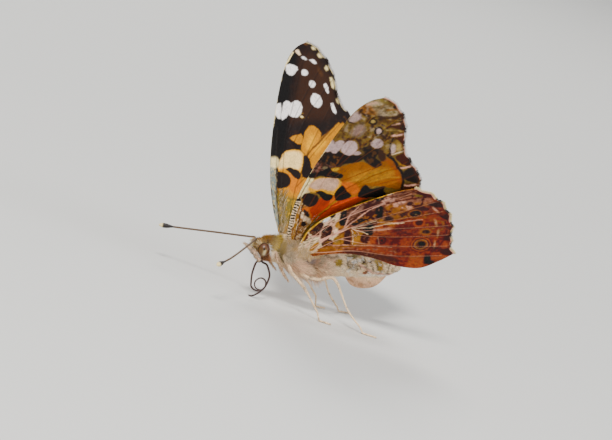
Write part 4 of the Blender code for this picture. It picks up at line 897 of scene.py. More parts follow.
def skin_finish(name, relief_scale, roughness=0.55, sheen=0.1, specular=0.4):
    """Scaly cuticle under the coat, or on a limb."""
    finish = Finish(name, Sheen_Weight=sheen, Specular_IOR_Level=specular)
    tint, relief = finish.cells(relief_scale)
    wide = finish.noise(relief_scale * 0.2, 3.0)
    return finish.paint(Base_Color=finish.toned("coat_colour", 0.7 + tint * 0.3 + wide * 0.4),
                        Roughness=roughness + tint * 0.2, Normal=finish.bump(relief, 0.00003, 0.5))


# Meshes

def finished_object(name, mesh, material, slot_name, *replaced):
    """Make the mesh a piece of the butterfly, riding on its body."""
    mesh.materials.append(material)
    obj = bpy.data.objects.new(name, mesh)
    bpy.context.scene.collection.objects.link(obj)
    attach(obj, "root")
    if replaced:
        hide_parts(*replaced)


def mesh_of(bm, name):
    """Mesh with the edited shape, which is then let go."""
    mesh = bpy.data.meshes.new(name)
    bm.to_mesh(mesh)
    bm.free()
    return mesh


def coordinates(mesh):
    co = np.empty(len(mesh.vertices) * 3, np.float32)
    mesh.vertices.foreach_get("co", co)
    return co.reshape(-1, 3).astype(float)


def set_coordinates(mesh, co):
    mesh.vertices.foreach_set("co", co.astype(np.float32).ravel())
    mesh.update()


def set_colours(mesh, name, colours):
    """Linear colour for each vertex."""
    layer = mesh.attributes.new(name, "FLOAT_COLOR", "POINT")
    full = np.ones((len(mesh.vertices), 4), np.float32)
    full[:, :3] = np.clip(colours, 0, 1)
    layer.data.foreach_set("color", full.ravel())


def set_uv(mesh, name, per_vertex):
    layer = mesh.uv_layers.new(name=name)
    index = np.empty(len(mesh.loops), np.int32)
    mesh.loops.foreach_get("vertex_index", index)
    layer.data.foreach_set("uv", per_vertex[index].astype(np.float32).ravel())


def face_outward(mesh):
    """Turn the faces of a closed mesh to point out."""
    mesh.calc_loop_triangles()
    tri = np.empty(len(mesh.loop_triangles) * 3, np.int32)
    mesh.loop_triangles.foreach_get("vertices", tri)
    p = coordinates(mesh)[tri.reshape(-1, 3)]
    if np.einsum("ij,ij->i", p[:, 0], np.cross(p[:, 1], p[:, 2])).sum() < 0:
        mesh.flip_normals()


class Form:
    """A tapering round form along a path, in millimetres of the floor's frame."""

    def __init__(self, centres, radii, upright=False, tipped=False):
        self.centres = np.asarray(centres, float)
        self.radii = np.asarray(radii, float)
        if self.radii.ndim == 1:
            self.radii = np.column_stack((self.radii, self.radii))
        self.run = runs(self.centres)
        tangent = unit(np.gradient(self.centres, axis=0))
        side = np.empty_like(tangent)
        if upright:
            tangent[:] = (1, 0, 0)
            side[:] = (0, 1, 0)
        else:
            before = unit(np.cross(tangent[0], (0, 0, 1.0)))
            for i, t in enumerate(tangent):
                before = unit(before - t * (before @ t))
                side[i] = before
        top = np.cross(tangent, side)
        if tipped:
            self.centres, tangent, side, top = to_world(self.centres), turn(tangent), turn(side), turn(top)
        self.tangent, self.side, self.top = tangent, side, top

    def blend(self, values, run):
        return np.stack([np.interp(run, self.run, column) for column in values.T], -1)

    def spot(self, run, angle):
        """Points, outward directions and the directions along the form at these places."""
        side, top, tangent = (self.blend(v, run) for v in (self.side, self.top, self.tangent))
        radii = self.blend(self.radii, run)
        c, s = np.cos(angle)[:, None], np.sin(angle)[:, None]
        point = self.blend(self.centres, run) + side * c * radii[:, :1] + top * s * radii[:, 1:]
        out = unit(side * c * radii[:, 1:] + top * s * radii[:, :1])
        slope = (self.blend(self.radii, run + 0.05) - self.blend(self.radii, run - 0.05)).mean(1) / 0.1
        out = unit(out - tangent * np.clip(slope, -2, 2)[:, None])
        return point, out, flattened(tangent, out)

    def mesh(self, name, sides):
        """A grid wrapped round the path, its seam and ends merged."""
        bm = bmesh.new()
        bmesh.ops.create_grid(bm, x_segments=len(self.run) - 1, y_segments=sides, size=0.5)
        flat = mesh_of(bm, name + "_grid")
        plan = coordinates(flat) + 0.5
        order = np.rint(plan[:, 0] * (len(self.run) - 1)).astype(int)
        set_coordinates(flat, self.spot(self.run[order], plan[:, 1] * math.tau)[0])
        bm = bmesh.new()
        bm.from_mesh(flat)
        bpy.data.meshes.remove(flat)
        bmesh.ops.remove_doubles(bm, verts=bm.verts, dist=0.0005)
        bmesh.ops.recalc_face_normals(bm, faces=bm.faces)
        mesh = mesh_of(bm, name)
        mesh.shade_smooth()
        return mesh

    def places(self, run, angle):
        """Places on the unit square of a UV map."""
        return np.column_stack((0.05 + 0.9 * run / self.run[-1], 0.05 + 0.9 * angle / math.tau))

    def scatter(self, per_square, rng, start, end):
        """Random places spread evenly over the surface: run and angle."""
        fine = np.linspace(start, end, 400)
        girth = self.blend(self.radii, fine).mean(1) * math.tau
        area = np.concatenate(([0.0], np.cumsum((girth[1:] + girth[:-1]) / 2 * np.diff(fine))))
        count = int(area[-1] * per_square)
        run = np.interp(rng.uniform(0, area[-1], count), area, fine)
        return run, rng.uniform(0, math.tau, count)


def spread(values, count):
    """A few numbers drawn out smoothly over many steps."""
    t = np.linspace(0, len(values) - 1, count)
    return np.interp(t, np.arange(len(values)), values)


STATIONS = (0.0, 0.42, 0.78)
TUFT_TRIANGLES = np.array(
    [(3 * k + j, 3 * k + (j + 1) % 3, 3 * k + 3 + (j + 1) % 3) for k in range(2) for j in range(3)]
    + [(3 * k + j, 3 * k + 3 + (j + 1) % 3, 3 * k + 3 + j) for k in range(2) for j in range(3)]
    + [(6, 7, 9), (7, 8, 9), (8, 6, 9), (2, 1, 0)])
UV_PATCH = 0.003


def tuft_mesh(name, roots, outs, lies, lengths, widths, colours, places, lift, bend, flat=0.45, tip=0.12):
    """Tapered tufts joined in one mesh: roots on the skin, lying along it and rising a little."""
    count = len(roots)
    lift = np.broadcast_to(lift, count)
    bend = np.broadcast_to(bend, count)
    sides = unit(np.cross(outs, lies))
    verts = np.empty((count, 10, 3))
    # tone is painted shade: each tuft is darkened at its root among the crowded hairs and grows lighter to
    # its free tip
    tone = np.empty((count, 10))
    sunk = roots - outs * 0.04
    for k, t in enumerate(STATIONS + (1.0,)):
        middle = sunk + lies * (lengths * t)[:, None] + outs * (lengths * (lift * t - bend * t * t))[:, None]
        taper = (1 - t) ** 0.7 * (1 - tip) + tip
        half = (widths * taper / 2)[:, None]
        if k == 3:
            verts[:, 9] = middle
            tone[:, 9] = 1.12
        else:
            verts[:, 3 * k] = middle + sides * half
            verts[:, 3 * k + 1] = middle + outs * half * flat * 2
            verts[:, 3 * k + 2] = middle - sides * half
            tone[:, 3 * k:3 * k + 3] = 0.66 + 0.42 * t
    faces = (np.arange(count)[:, None, None] * 10 + TUFT_TRIANGLES).reshape(-1, 3)
    mesh = bpy.data.meshes.new(name)
    mesh.from_pydata((verts.reshape(-1, 3) * MM).tolist(), [], faces.tolist())
    mesh.shade_smooth()
    set_colours(mesh, "coat_colour", (colours[:, None] * tone[..., None]).reshape(-1, 3))
    spin = np.arange(10) * math.tau / 3
    ring = np.array([1.0] * 3 + [0.7] * 3 + [0.4] * 3 + [0.0])
    offset = np.column_stack((np.cos(spin), np.sin(spin))) * ring[:, None] * UV_PATCH / 2
    set_uv(mesh, "OFBake", (places[:, None] + offset).reshape(-1, 2))
    return mesh


# Body

def segments(x):
    """0 at the abdomen's joints and 1 midway between them."""
    return np.abs(np.sin(math.pi * (x - ABDOMEN_START) / SEGMENT_LENGTH))


def body_form():
    """Head, thorax and abdomen as one form, upright sections along the body."""
    x, centre, width, height = smooth_path(BODY_SKIN, BODY_STEP).T
    rings = 1 + 0.05 * (segments(x) - 0.6) * (x > ABDOMEN_START)
    centres = np.column_stack((x, np.zeros_like(x), centre))
    radii = np.maximum(np.column_stack((width, height)) * rings[:, None], 0.02)
    radii[0] = radii[-1] = 0.0
    form = Form(centres, radii, upright=True, tipped=True)
    form.body_x = x
    return form


# Marks in the body's side view, x and height, written like the wings' marks
BODY_MARKS = [
    "patch ochre 0.5 | -5.4,-0.9 -4.4,-0.3 -2.4,-0.1 -2.2,1.6 -5.4,1.2",
    "patch tan 0.4 | -5.6,-1.3 -4.2,-2 -4,-0.4 -4.6,-0.2",
    "patch sienna 0.4 0 0.95 | -4.2,-1.9 -2.1,-1.8 -1.5,-2.8 -1.9,-3.6 -4.2,-3.2",
    "patch greytan 0.5 0 0.8 | -2.5,0.2 -1.3,0.2 -1.2,1.7 -2.5,1.7",
    "patch olive_light 0.5 | -2.4,0.3 -2.3,-1 -1.8,-1.5 -1,-0.3 -0.6,1.8 -1.4,1.8",
    "patch gold 0.4 0 0.75 | -1.6,0.2 -1.4,-0.9 -0.8,-1 -0.6,-0.1 -0.9,1.6 -1.3,1.6",
    "patch linen 0.4 | -2.3,-1.3 -1.6,-1 -0.9,-2 -0.3,-2.7 -0.5,-3.8 -1.4,-3.2 -2.1,-2.2",
    "spot lilac 0.3 0 0.6 | -1.5,-1.75 0.34,0.26",
    "line olive 0.25 0.34 | -1.35,-0.8 -0.9,-1.6 -0.3,-2.4",
    "line umber 0.2 0.14 0.8 | -1,-1.5 -0.6,-2.1 -0.2,-2.5",
    "line linen 0.2 0.26 | -0.75,1.2 -0.7,-0.4 -0.3,-1.5 0,-2.3",
    "patch greypale 0.4 | -0.4,1 -0.4,-0.8 0,-2.2 1,-2.1 0.9,-1 0.4,0 0.2,1",
    "patch gold 0.4 0 0.7 | 0.2,-0.3 1.6,0 1.7,-0.7 0.8,-1 0.2,-0.9",
    "patch linen 0.4 | 1.4,0.6 2.2,0.4 2.3,-0.9 1.5,-0.9",
    "patch lilac_pale 0.4 | 2.2,0.5 4,0.2 3.9,-0.5 2.3,-0.5",
    "patch ochre 0.4 0 0.8 | 2.8,-0.8 3.4,-0.9 3.5,-1.9 3,-2.1 2.7,-1.6",
    "line gold 0.25 0.22 0.8 | 3.3,-0.8 4,-0.6 5,-0.55",
    "patch greypale 0.4 0 0.8 | 3.5,-0.9 5.2,-0.8 5.4,-1.6 4.4,-2 3.6,-1.8",
    "line tan 0.4 0.24 0.7 | 3.2,-2.1 4.4,-2.5 5,-3.1",
    "line greytan 0.3 0.3 0.8 | 5.2,-0.7 6.4,-1 7.6,-0.7",
    "patch gold 0.25 | 7.2,-1.6 7.5,-1 8.2,-0.9 8.3,-1.4 7.9,-1.9 7.4,-1.9",
    "spot rustlight 0.2 20 0.7 | 7.15,-1.5 0.16,0.36",
    "patch linen 0.3 | 8.4,-0.5 9,-0.8 9.1,-2 8.4,-2",
    "line umber 0.15 0.16 | 9.05,-1 9.15,-1.7",
    "patch olive 0.2 | 8.8,-0.5 9.8,-0.3 10.9,0 10.4,-0.5 9.4,-0.75",
    "patch greytan 0.3 0 0.6 | 9.2,-1.2 10.2,-1.2 10.3,-2 9.3,-2",
    "line white 0.2 0.3 | 9.7,-1 10.4,-0.8 11.2,-0.4",
    "spot umber 0.15 20 | 10.6,-1.35 0.3,0.14",
    "spot umber 0.15 70 | 10.5,-1.85 0.2,0.14",
    "patch olive 0.2 | 10.8,-1 11.3,-0.5 12,-0.3 12,-0.8 11.4,-1.1",
    "spot umber 0.15 30 | 11.5,-0.8 0.26,0.1",
    "patch linen 0.3 | 11.8,0 12.8,0 12.6,-0.8 12,-1.2",
    "line umber 0.2 0.2 | 12.3,-0.6 12.7,-1.1 12.8,-1.6",
    "patch rustlight 0.25 | 11.4,-2.2 11.9,-1.8 12.5,-1.7 12.3,-2.3 11.8,-2.5",
    "patch gold 0.25 | 13.1,-0.2 14.3,-0.3 14.3,-1.4 13.9,-1.9 13.4,-1.6",
    "patch ochre 0.3 0 0.6 | 13.7,-0.2 14.4,-0.2 14.4,-1.4 14,-1.6",
    "line umber 0.2 0.22 0.8 | 15.5,-0.3 15.45,-1 15.2,-1.7",
    "line pink 0.25 0.26 | 10.9,-1.2 12.6,-1.9 14.6,-2.15 16.4,-2.2",
    "line white 0.3 0.2 0.8 | 11.4,-2.7 13,-2.45 15.4,-2.35",
    "patch mauve 0.5 0 0.7 | 5.2,0 7.4,-0.3 11,0 15.6,0.1 16.4,1.2 4.6,1",
    "line brown 0.8 1.3 0.5 | 4,1.5 16.4,0.7",
]
EYE_RIMS = [
    "line umber 0.1 0.14 0.8 | -3.1,-0.1 -2.55,-0.55 -2.3,-1.2 -2.35,-1.9",
    "line white 0.12 0.15 | -2.66,-0.42 -2.44,-0.8 -2.32,-1.3 -2.34,-1.9",
    "line cream 0.14 0.2 | -4,-0.2 -4.25,-0.8 -4.15,-1.5 -3.8,-2.1",
    "line brown 0.15 0.16 0.8 | -4.5,-0.1 -4.5,-0.9 -4.4,-1.5",
]


def body_marks(x, z):
    """Colours of the body's skin and coat by the place in side view."""
    plan = np.column_stack((x, z))
    art = Painting(plan, "linen", 0.1)
    front = 1 - step_between(x, 5.5, 8.5)
    art.lay(0.9 * (1 - step_between(x, -0.8, -0.2)), "olive_light")
    art.lay(0.9 * front * step_between(x, -0.6, 0.6), "hairpink")
    streak = grain(np.column_stack((x * 0.45, z * 2.4)), 0.36, 12)
    art.lay(0.7 * step_between(streak, 0.0, 0.6) * front, "linen")
    art.lay(0.5 * step_between(-streak, 0.2, 0.9) * front, "tan")
    art.marks(BODY_MARKS)
    rear = step_between(x, 7.0, 8.5)
    above = rear * step_between(z, -2.4, -1.8)
    flank = rear * step_between(z, -2.8, -2.0)
    art.lay(0.7 * step_between(grain(plan, 0.34, 15), 0.25, 0.6) * above, "olive_light")
    art.lay(0.75 * step_between(grain(plan, 0.22, 14), 0.3, 0.6) * flank, "greytan")
    art.lay(0.7 * step_between(grain(plan, 0.2, 16), 0.5, 0.75) * above, "umber")
    art.lay(0.5 * step_between(grain(plan, 0.3, 17), 0.4, 0.8) * rear, "white")
    art.marks(EYE_RIMS)
    art.lay(0.4 * (1 - step_between(segments(x), 0.0, 0.3)) * (x > 8.0), "greytan")
    return art.colour


def build_body():
    form = body_form()
    mesh = form.mesh("body_skin", 72)
    world = coordinates(mesh)
    place = world - np.array((-ORIGIN_BACK, 0, HINGE_HEIGHT))
    x = place[:, 0] * math.cos(BODY_TILT) + place[:, 2] * math.sin(BODY_TILT)
    z = -place[:, 0] * math.sin(BODY_TILT) + place[:, 2] * math.cos(BODY_TILT)
    set_colours(mesh, "coat_colour", body_marks(x, z) * 0.85)
    set_coordinates(mesh, world * MM)
    face_outward(mesh)
    finish = skin_finish("body_skin", 9000.0)
    finished_object("body_skin", mesh, finish, "body_hair", "head", "thorax", "abdomen")


def skin_height(x, angle):
    """Height of the skin in the body frame."""
    along, centre, _, half = np.array(BODY_SKIN).T
    return np.interp(x, along, centre) + np.interp(x, along, half) * np.sin(angle)


def belly(angle):
    """1 right below the body, 0 from its flanks up."""
    return np.clip(-np.sin(angle), 0, 1)


def body_coat(name, form, start, end, per_square, length, width, lift, bend, wander, droop, slot_name, seed,
              flat=0.45, bare=None):
    """Hair or hair-like scales over one stretch of the body."""
    rng = np.random.default_rng(seed)
    low, high = np.interp((start, end), form.body_x, form.run)
    run, angle = form.scatter(per_square, rng, low, high)
    if bare is not None:
        keep = bare(np.interp(run, form.run, form.body_x), angle)
        run, angle = run[keep], angle[keep]
    count = len(run)
    root, out, lie = form.spot(run, angle)
    x = np.interp(run, form.run, form.body_x)
    lengths = length(x, angle) * rng.uniform(0.65, 1.2, count)
    down = np.array((0.0, 0.0, -1.0))
    share = droop(x) * np.abs(np.cos(angle))
    lie = toward(lie, down, share[:, None])
    forward = step_between(-x, -FACE_BACK - 0.45, -FACE_BACK + 0.1)[:, None]
    lie = lie * (1 - 2 * forward) - 0.3 * forward * down
    lie = flattened(lie + np.cross(out, lie) * rng.normal(0, wander, count)[:, None], out)
    colours = body_marks(x + 0.2 * lengths * (1 - share), skin_height(x, angle) - 0.3 * lengths * share)
    colours *= rng.uniform(0.8, 1.55, count)[:, None]
    widths = width * rng.uniform(0.7, 1.25, count)
    below = belly(angle) * step_between(x, -0.5, 1.0) * (1 - step_between(x, 6.0, 8.0))
    rise = lift * rng.uniform(0.6, 1.5, count) * (1 + 1.4 * below)
    places = form.places(run, angle)
    mesh = tuft_mesh(name, root, out, lie, lengths, widths, colours, places, rise, bend, flat)
    finished_object(name, mesh, coat_finish(name), slot_name)


def build_coat():
    form = body_form()
    fur = settings().fur_length / MM

    def head_length(x, angle):
        top = np.clip(np.sin(angle), 0, 1)
        return 0.34 + 0.3 * top ** 2 + 0.2 * (x > -2.9) + 0.45 * (x < FACE_BACK)

    def thorax_length(x, angle):
        share = 0.5 + 0.55 * step_between(x, -1.6, 0.8)
        return fur * share * (0.8 + belly(angle) * step_between(x, -0.8, 1.0))

    def abdomen_length(x, angle):
        waist = (0.75 + 0.9 * belly(angle)) * (1 - step_between(x, 4.6, 6.6))
        return 0.42 + waist + 0.15 * step_between(x, 15.5, 17)

    def beside_eye(x, angle):
        height = skin_height(x, angle) - EYE_CENTRE[2]
        gap = np.hypot((x - EYE_CENTRE[0]) / EYE_HALF[0], height / EYE_HALF[2])
        return (gap > 0.9) | (np.abs(np.sin(angle)) > 0.93)

    body_coat("head_coat", form, -4.42, -2.2, 220, head_length, 0.055, 0.6, 0.25, 0.3, lambda x: 0.15,
              "body_hair", 11, bare=beside_eye)
    body_coat("thorax_coat", form, -2.4, 4.9, 105, thorax_length, 0.07, 0.36, 0.2, 0.22,
              lambda x: 0.62 - 0.5 * step_between(x, -0.4, 1.2), "body_hair", 12)
    body_coat("abdomen_coat", form, 4.4, 17.4, 62, abdomen_length, 0.11, 0.20, 0.10, 0.2, lambda x: 0.12,
              "abdomen_scales", 13, flat=0.25)
    build_shoulder_hair(form, fur)


def build_shoulder_hair(form, fur):
    """Tufts that rise from the thorax's flanks over the wing bases."""
    rng = np.random.default_rng(14)
    count = SHOULDER_TUFTS
    x = rng.uniform(-1.2, 4.4, count)
    run = np.interp(x, form.body_x, form.run)
    rise = rng.uniform(-0.35, 0.5, count)
    angle = np.where(rng.uniform(0, 1, count) < 0.5, rise, math.pi - rise)
    root, out, lie = form.spot(run, angle)
    upward = turn((0.0, 0.0, 1.0))
    lie = lie * (0.25 + 0.5 * step_between(x, -0.5, 3.0))[:, None] + upward * 0.8 + out * 0.45
    lie = unit(lie + rng.normal(0, 0.14, (count, 3)))
    art = Painting(np.column_stack((x, 3 * rise)), "hairpink", 0.2)
    for name, low, high in (("olive_light", -1.4, -0.5), ("greypale", -0.5, 0.7), ("linen", 0.7, 2.3),
                            ("lilac_pale", 2.3, 3.6)):
        art.lay(step_between(x, low - 0.3, low + 0.3) * (1 - step_between(x, high - 0.3, high + 0.3)), name)
    art.lay(0.75 * np.exp(-((rise - 0.12 - 0.06 * x) / 0.1) ** 2) * step_between(x, -0.4, 0.4), "buff")
    colours = art.colour * rng.uniform(0.8, 1.25, count)[:, None]
    lengths = fur * 1.1 * rng.uniform(0.5, 1.15, count)
    widths = rng.uniform(0.045, 0.075, count)
    mesh = tuft_mesh("shoulder_hair", root, flattened(out, lie), lie, lengths, widths, colours,
                     form.places(run, angle), 0.1, 0.1)
    finished_object("shoulder_hair", mesh, coat_finish("shoulder_hair"), "body_hair")


# Wings

def wing_axes(side):
    """Hinge and the backward, upward and outward directions of a wing, in the body frame."""
    sign = -1 if side == "left" else 1
    up = np.array((0, sign * math.sin(WING_SPREAD), math.cos(WING_SPREAD)))
    back = np.array((math.cos(WING_TOE), sign * math.sin(WING_TOE), 0))
    back = unit(back - up * (back @ up))
    outward = unit(np.cross(back, up))
    if outward[1] * sign < 0:
        outward = -outward
    return np.array((0, sign * HINGE_SPACING / 2, 0)), back, up, outward


def fore_lift(a, b):
    return FORE_CAMBER * np.sin(math.pi * np.minimum(1.0, b / 30)) * (1 - ((a - 4) / 12) ** 2)


def hind_lift(a, b):
    below = np.maximum(0.0, FOLD_HEIGHT - b)
    fold = FOLD_BEND * below ** 2 * np.clip((a - 3.0) / 5.0, 0, 1)
    return HIND_OFFSET + fore_lift(a, np.maximum(b, 0.0)) + fold


WINGS = {
    "fore": SimpleNamespace(
        costa=FORE_COSTA, outer=FORE_OUTER, inner={"left": FORE_INNER, "right": FORE_INNER},
        lobes=FORE_LOBES, depth=FORE_LOBE_DEPTH, veins=FORE_VEINS, lift=fore_lift,
        upper=("soot", FORE_UPPER), under=("apex", FORE_UNDER), hair_limit=(0.9, 0.75), fringe="white",
        seed=31),
    "hind": SimpleNamespace(
        costa=HIND_COSTA, outer=HIND_OUTER, inner={"left": HIND_INNER_LEFT, "right": HIND_INNER_RIGHT},
        lobes=HIND_LOBES, depth=HIND_LOBE_DEPTH, veins=HIND_VEINS, lift=hind_lift,
        upper=("orange", HIND_UPPER), under=("rustlight", HIND_UNDER), hair_limit=(3.0, 1.6), fringe="cream",
        seed=32),
}


def margin_path(wing):
    """Outer margin with a small tooth at each vein end."""
    path = smooth_path(wing.outer, 0.07)
    t = np.linspace(0, 1, len(path))
    along = unit(np.gradient(path, axis=0))
    outward = np.column_stack((-along[:, 1], along[:, 0]))
    tooth = 1 - np.abs(np.sin(math.pi * wing.lobes * t))
    path[1:-1] += (outward * (wing.depth * (tooth - 0.5))[:, None])[1:-1]
    return path


def vein_end_gap(plan, wing):
    """Distance of each place from the nearest end of a vein."""
    ends = np.array([vein[-1] for vein in wing.veins])
    return np.min(np.linalg.norm(plan[:, None] - ends[None], axis=2), axis=1)


def wing_relief(plan, veins):
    """Height of the pleats, and the share of a vein at each place."""
    fold = np.zeros(len(plan))
    crest = np.zeros(len(plan))
    for index, vein in enumerate(veins):
        gap = path_distance(plan, smooth_path(vein, 0.5))
        fold += (PLEAT if index % 2 else -PLEAT) * np.exp(-(gap / PLEAT_REACH) ** 2)
        crest = np.maximum(crest, np.exp(-(gap / VEIN_REACH) ** 2))
    return fold, crest


def wing_surface(pair, side, plan, offset):
    """Points of a wing in the floor's frame, from its plan and the height over its middle."""
    hinge, back, up, outward = wing_axes(side)
    a, b = plan.T
    height = WINGS[pair].lift(a, b) + offset
    return to_world(hinge + np.outer(a, back) + np.outer(b, up) + np.outer(height, outward))


def wing_heading(side, vectors):
    """Directions in the floor's frame, from directions in a wing's plan."""
    _, back, up, _ = wing_axes(side)
    return turn(np.outer(vectors[:, 0], back) + np.outer(vectors[:, 1], up))


def paint_wing(pair, plan, upper, crest):
    """Colours of one face of a wing."""
    wing = WINGS[pair]
    ground, marks = wing.upper if upper else wing.under
    art = Painting(plan, ground, settings().ragged / MM)
    rough = grain(art.streaks, 0.36, 21) + 0.6 * grain(plan, 0.23, 22)
    art.lay(0.42 * step_between(rough, 0.1, 1.1), "umber")
    if not upper:
        art.lay(0.2 * step_between(-rough, 0.3, 1.2), "tan" if pair == "hind" else "buff")
    art.marks(marks)
    bright = step_between(art.colour.max(1), 0.03, 0.14)
    art.lay(bright * (0.10 if upper else 0.24) * step_between(rough, 0.1, 1.0), "umber")
    ridge = crest ** 3
    if upper:
        art.lay(0.6 * ridge, "soot" if pair == "fore" else "brown")
    elif pair == "fore":
        tip = step_between(plan[:, 1], 20.2, 22.6)
        fine = grain(art.streaks, 0.34, 25) + 0.8 * grain(plan, 0.3, 26)
        art.lay(0.55 * tip * step_between(fine, 0.1, 0.9), "apex_dark")
        art.lay(0.28 * tip * step_between(-fine, 0.3, 1.1), "greypale")
        paint_costal_bars(art)
        tip = step_between(plan[:, 1], 18.0, 24.0)
        art.lay(0.28 * ridge * (1 - tip), "rust")
        art.lay(0.3 * ridge * tip, "ochre")
    else:
        specks = grain(plan, 0.27, 23) + 0.5 * grain(art.streaks, 0.3, 24)
        outward = step_between(plan[:, 0], 9.5, 12.5)
        art.lay((0.5 - 0.15 * outward) * bright * step_between(specks, 0.25, 0.8), "maroon")
        art.lay(0.16 * (1 - outward) * step_between(-specks, 0.4, 0.9), "pink")
        art.lay(0.2 * outward * step_between(-specks, 0.4, 0.9), "disc")
        outer_share = step_between(plan[:, 0], 5.0, 11.0)
        # Painted shade beside the veins: umber on both sides of each vein, stronger toward the wing's outer
        # part
        art.lay(0.6 * step_between(crest, 0.02, 0.3) * (1 - ridge) * (0.3 + 0.3 * outer_share), "umber")
        art.lay(ridge ** 2 * (0.85 - 0.55 * outer_share), "pink")
    paint_margin(art, wing, upper)
    if pair == "hind" and not upper:
        art.colour = np.clip(CONTRAST_MIDDLE + CONTRAST * (art.colour - CONTRAST_MIDDLE), 0.004, 0.82)
    return art.colour


def paint_costal_bars(art):
    """Black and white ladder along the forewing's front edge, near its base."""
    path = smooth_path([(-1.95, 8.6), (-1.7, 6.0), (-1.25, 3.2), (-0.75, 1.3)], 0.05)
    along = runs(path)
    gap = path_distance(art.plan, path)
    nearest = np.linalg.norm(art.plan[:, None] - path[None, ::3], axis=2).argmin(1) * 3
    nearest = np.minimum(nearest, len(path) - 1)
    bar = step_between(np.cos(along[nearest] / 0.5 * math.tau + 2.2 * grain(art.plan, 0.5, 9)), -0.45, 0.1)
    inside_strip = 1 - step_between(gap, 0.34, 0.44)
    art.lay(inside_strip, "linen")
    art.lay(inside_strip * bar, "jet")


def paint_margin(art, wing, upper):
    """Pale rim between the veins, dark where a vein ends, with a dark line inside."""
    gap = path_distance(art.plan, margin_path(wing)[::4])
    art.lay(0.55 * (1 - step_between(gap, 0.22, 0.5)), "soot" if upper else "maroon")
    rim = (1 - step_between(gap, 0.06, 0.16)) * step_between(vein_end_gap(art.plan, wing), 0.45, 0.8)
    art.lay(0.8 * rim, "cream" if upper else "pink")


def build_wing(pair, side):
    wing = WINGS[pair]
    name = f"{pair}wing_{side}"
    bm = bmesh.new()
    bmesh.ops.create_grid(bm, x_segments=LENGTH_CELLS, y_segments=WIDTH_CELLS, size=0.5)
    bmesh.ops.solidify(bm, geom=bm.faces[:], thickness=0.1)
    mesh = mesh_of(bm, name)
    grid = coordinates(mesh)
    u, v = np.clip(grid[:, :2] + 0.5, 0, 1).T
    ventral = grid[:, 2] > grid[:, 2].mean()
    front = smooth_path(wing.costa, 0.1)
    rear = smooth_path(wing.inner[side], 0.1)[::-1]
    across = v[:, None]
    plan = (1 - across) * on_path(front, u) + across * on_path(rear, u)
    plan += u[:, None] * (on_path(margin_path(wing), v) - (1 - across) * front[-1] - across * rear[-1])
    fold, crest = wing_relief(plan, wing.veins)
    edge = np.minimum.reduce((u, 1 - u, v, 1 - v)) * 40
    half = (settings().membrane / 2 / MM + settings().vein_rise / MM * crest) * np.clip(edge, 0.35, 1)
    colours = np.empty((len(plan), 3))
    for upper, chosen in ((False, ventral), (True, ~ventral)):
        colours[chosen] = paint_wing(pair, plan[chosen], upper, crest[chosen])
    set_coordinates(mesh, wing_surface(pair, side, plan, fold + np.where(ventral, half, -half)) * MM)
    set_colours(mesh, "scale_colour", colours)
    set_uv(mesh, "wing_plan", plan / PLAN_SPAN + 0.2)
    mesh.shade_smooth()
    face_outward(mesh)
    paint = bpy.data.materials[pair + "wing_paint"]
    finished_object(name + "_scales", mesh, paint, pair + "wing_scales", name)


def build_fringe(pair, side):
    """Hair scales along the outer margin, pale between the veins and dark at their ends."""
    wing = WINGS[pair]
    rng = np.random.default_rng(wing.seed)
    margin = margin_path(wing)
    count = int(runs(margin)[-1] * FRINGE_DENSITY)
    t = np.sort(rng.uniform(0.0, 1.0, count))
    plan = on_path(margin, t)
    ahead = unit(on_path(margin, np.clip(t + 0.01, 0, 1)) - on_path(margin, np.clip(t - 0.01, 0, 1)))
    away = np.column_stack((-ahead[:, 1], ahead[:, 0]))
    away = unit(away + ahead * rng.normal(0.0, 0.16, count)[:, None])
    out = np.tile(turn(wing_axes(side)[3]), (count, 1))
    root = wing_surface(pair, side, plan - away * 0.08, rng.uniform(-0.05, 0.05, count))
    dark = 1 - step_between(vein_end_gap(plan, wing), 0.35, 0.75)
    colours = toward(shade(wing.fringe), shade("umber"), dark[:, None])
    colours *= rng.uniform(0.8, 1.1, count)[:, None]
    lengths = settings().fringe_length / MM * rng.uniform(0.75, 1.15, count) * (1 - 0.15 * dark)
    widths = rng.uniform(0.05, 0.09, count)
    places = np.column_stack((0.05 + 0.9 * t, np.full(count, 0.5)))
    name = f"{pair}wing_{side}_fringe"
    lie = wing_heading(side, away)
    mesh = tuft_mesh(name, root, out, lie, lengths, widths, colours, places, 0.0, 0.0, 0.3)
    finished_object(name, mesh, bpy.data.materials["wing_hair"], pair + "wing_scales")


def build_wing_hair(side):
    """Hair at the wing bases and along the hindwing's inner fold."""
    rng = np.random.default_rng(41)
    outward = turn(wing_axes(side)[3])
    groups = []
    for pair, upper, count, (a0, a1, b0, b1), name, length, rise in HAIR_ZONES:
        wing = WINGS[pair]
        a = rng.uniform(a0, a1, count)
        b = b0 + (b1 - b0) * rng.uniform(0, 1, count) ** 1.6
        front = np.interp(b, *np.array(wing.costa)[:5, ::-1].T)
        base, slope = wing.hair_limit
        a = np.minimum(np.maximum(a, front + 0.15), base + slope * np.maximum(b, 0))
        sign = -1 if upper else 1
        root = wing_surface(pair, side, np.column_stack((a, b)), 0.05 * sign)
        heading = 0.25 + 0.5 * (a - front) / 5 + rng.normal(0, 0.15, count)
        heading = unit(np.column_stack((heading, np.full(count, -sign))))
        pale = rng.uniform(0, 1, count)[:, None] ** (2.0 if upper else 0.7)
        colours = toward(shade(name), shade("linen"), pale) * rng.uniform(0.7, 1.15, count)[:, None]
        lengths = length * rng.uniform(0.5, 1.2, count) * (1.1 - 0.5 * (b - b0) / (b1 - b0))
        widths = rng.uniform(0.045, 0.07, count)
        places = np.column_stack(((a + 5) / 30, (b + 6) / 40 + (0.5 if upper else 0.0)))
        out = np.tile(outward * sign, (count, 1))
        groups.append((root, out, wing_heading(side, heading), lengths, widths, colours, places,
                       rng.uniform(0.12, 0.5, count) * rise))
    mesh = tuft_mesh(f"wing_hair_{side}", *(np.concatenate(part) for part in zip(*groups)), 0.15)
    finished_object(f"wing_hair_{side}", mesh, bpy.data.materials["wing_hair"], "body_hair")


# Head parts

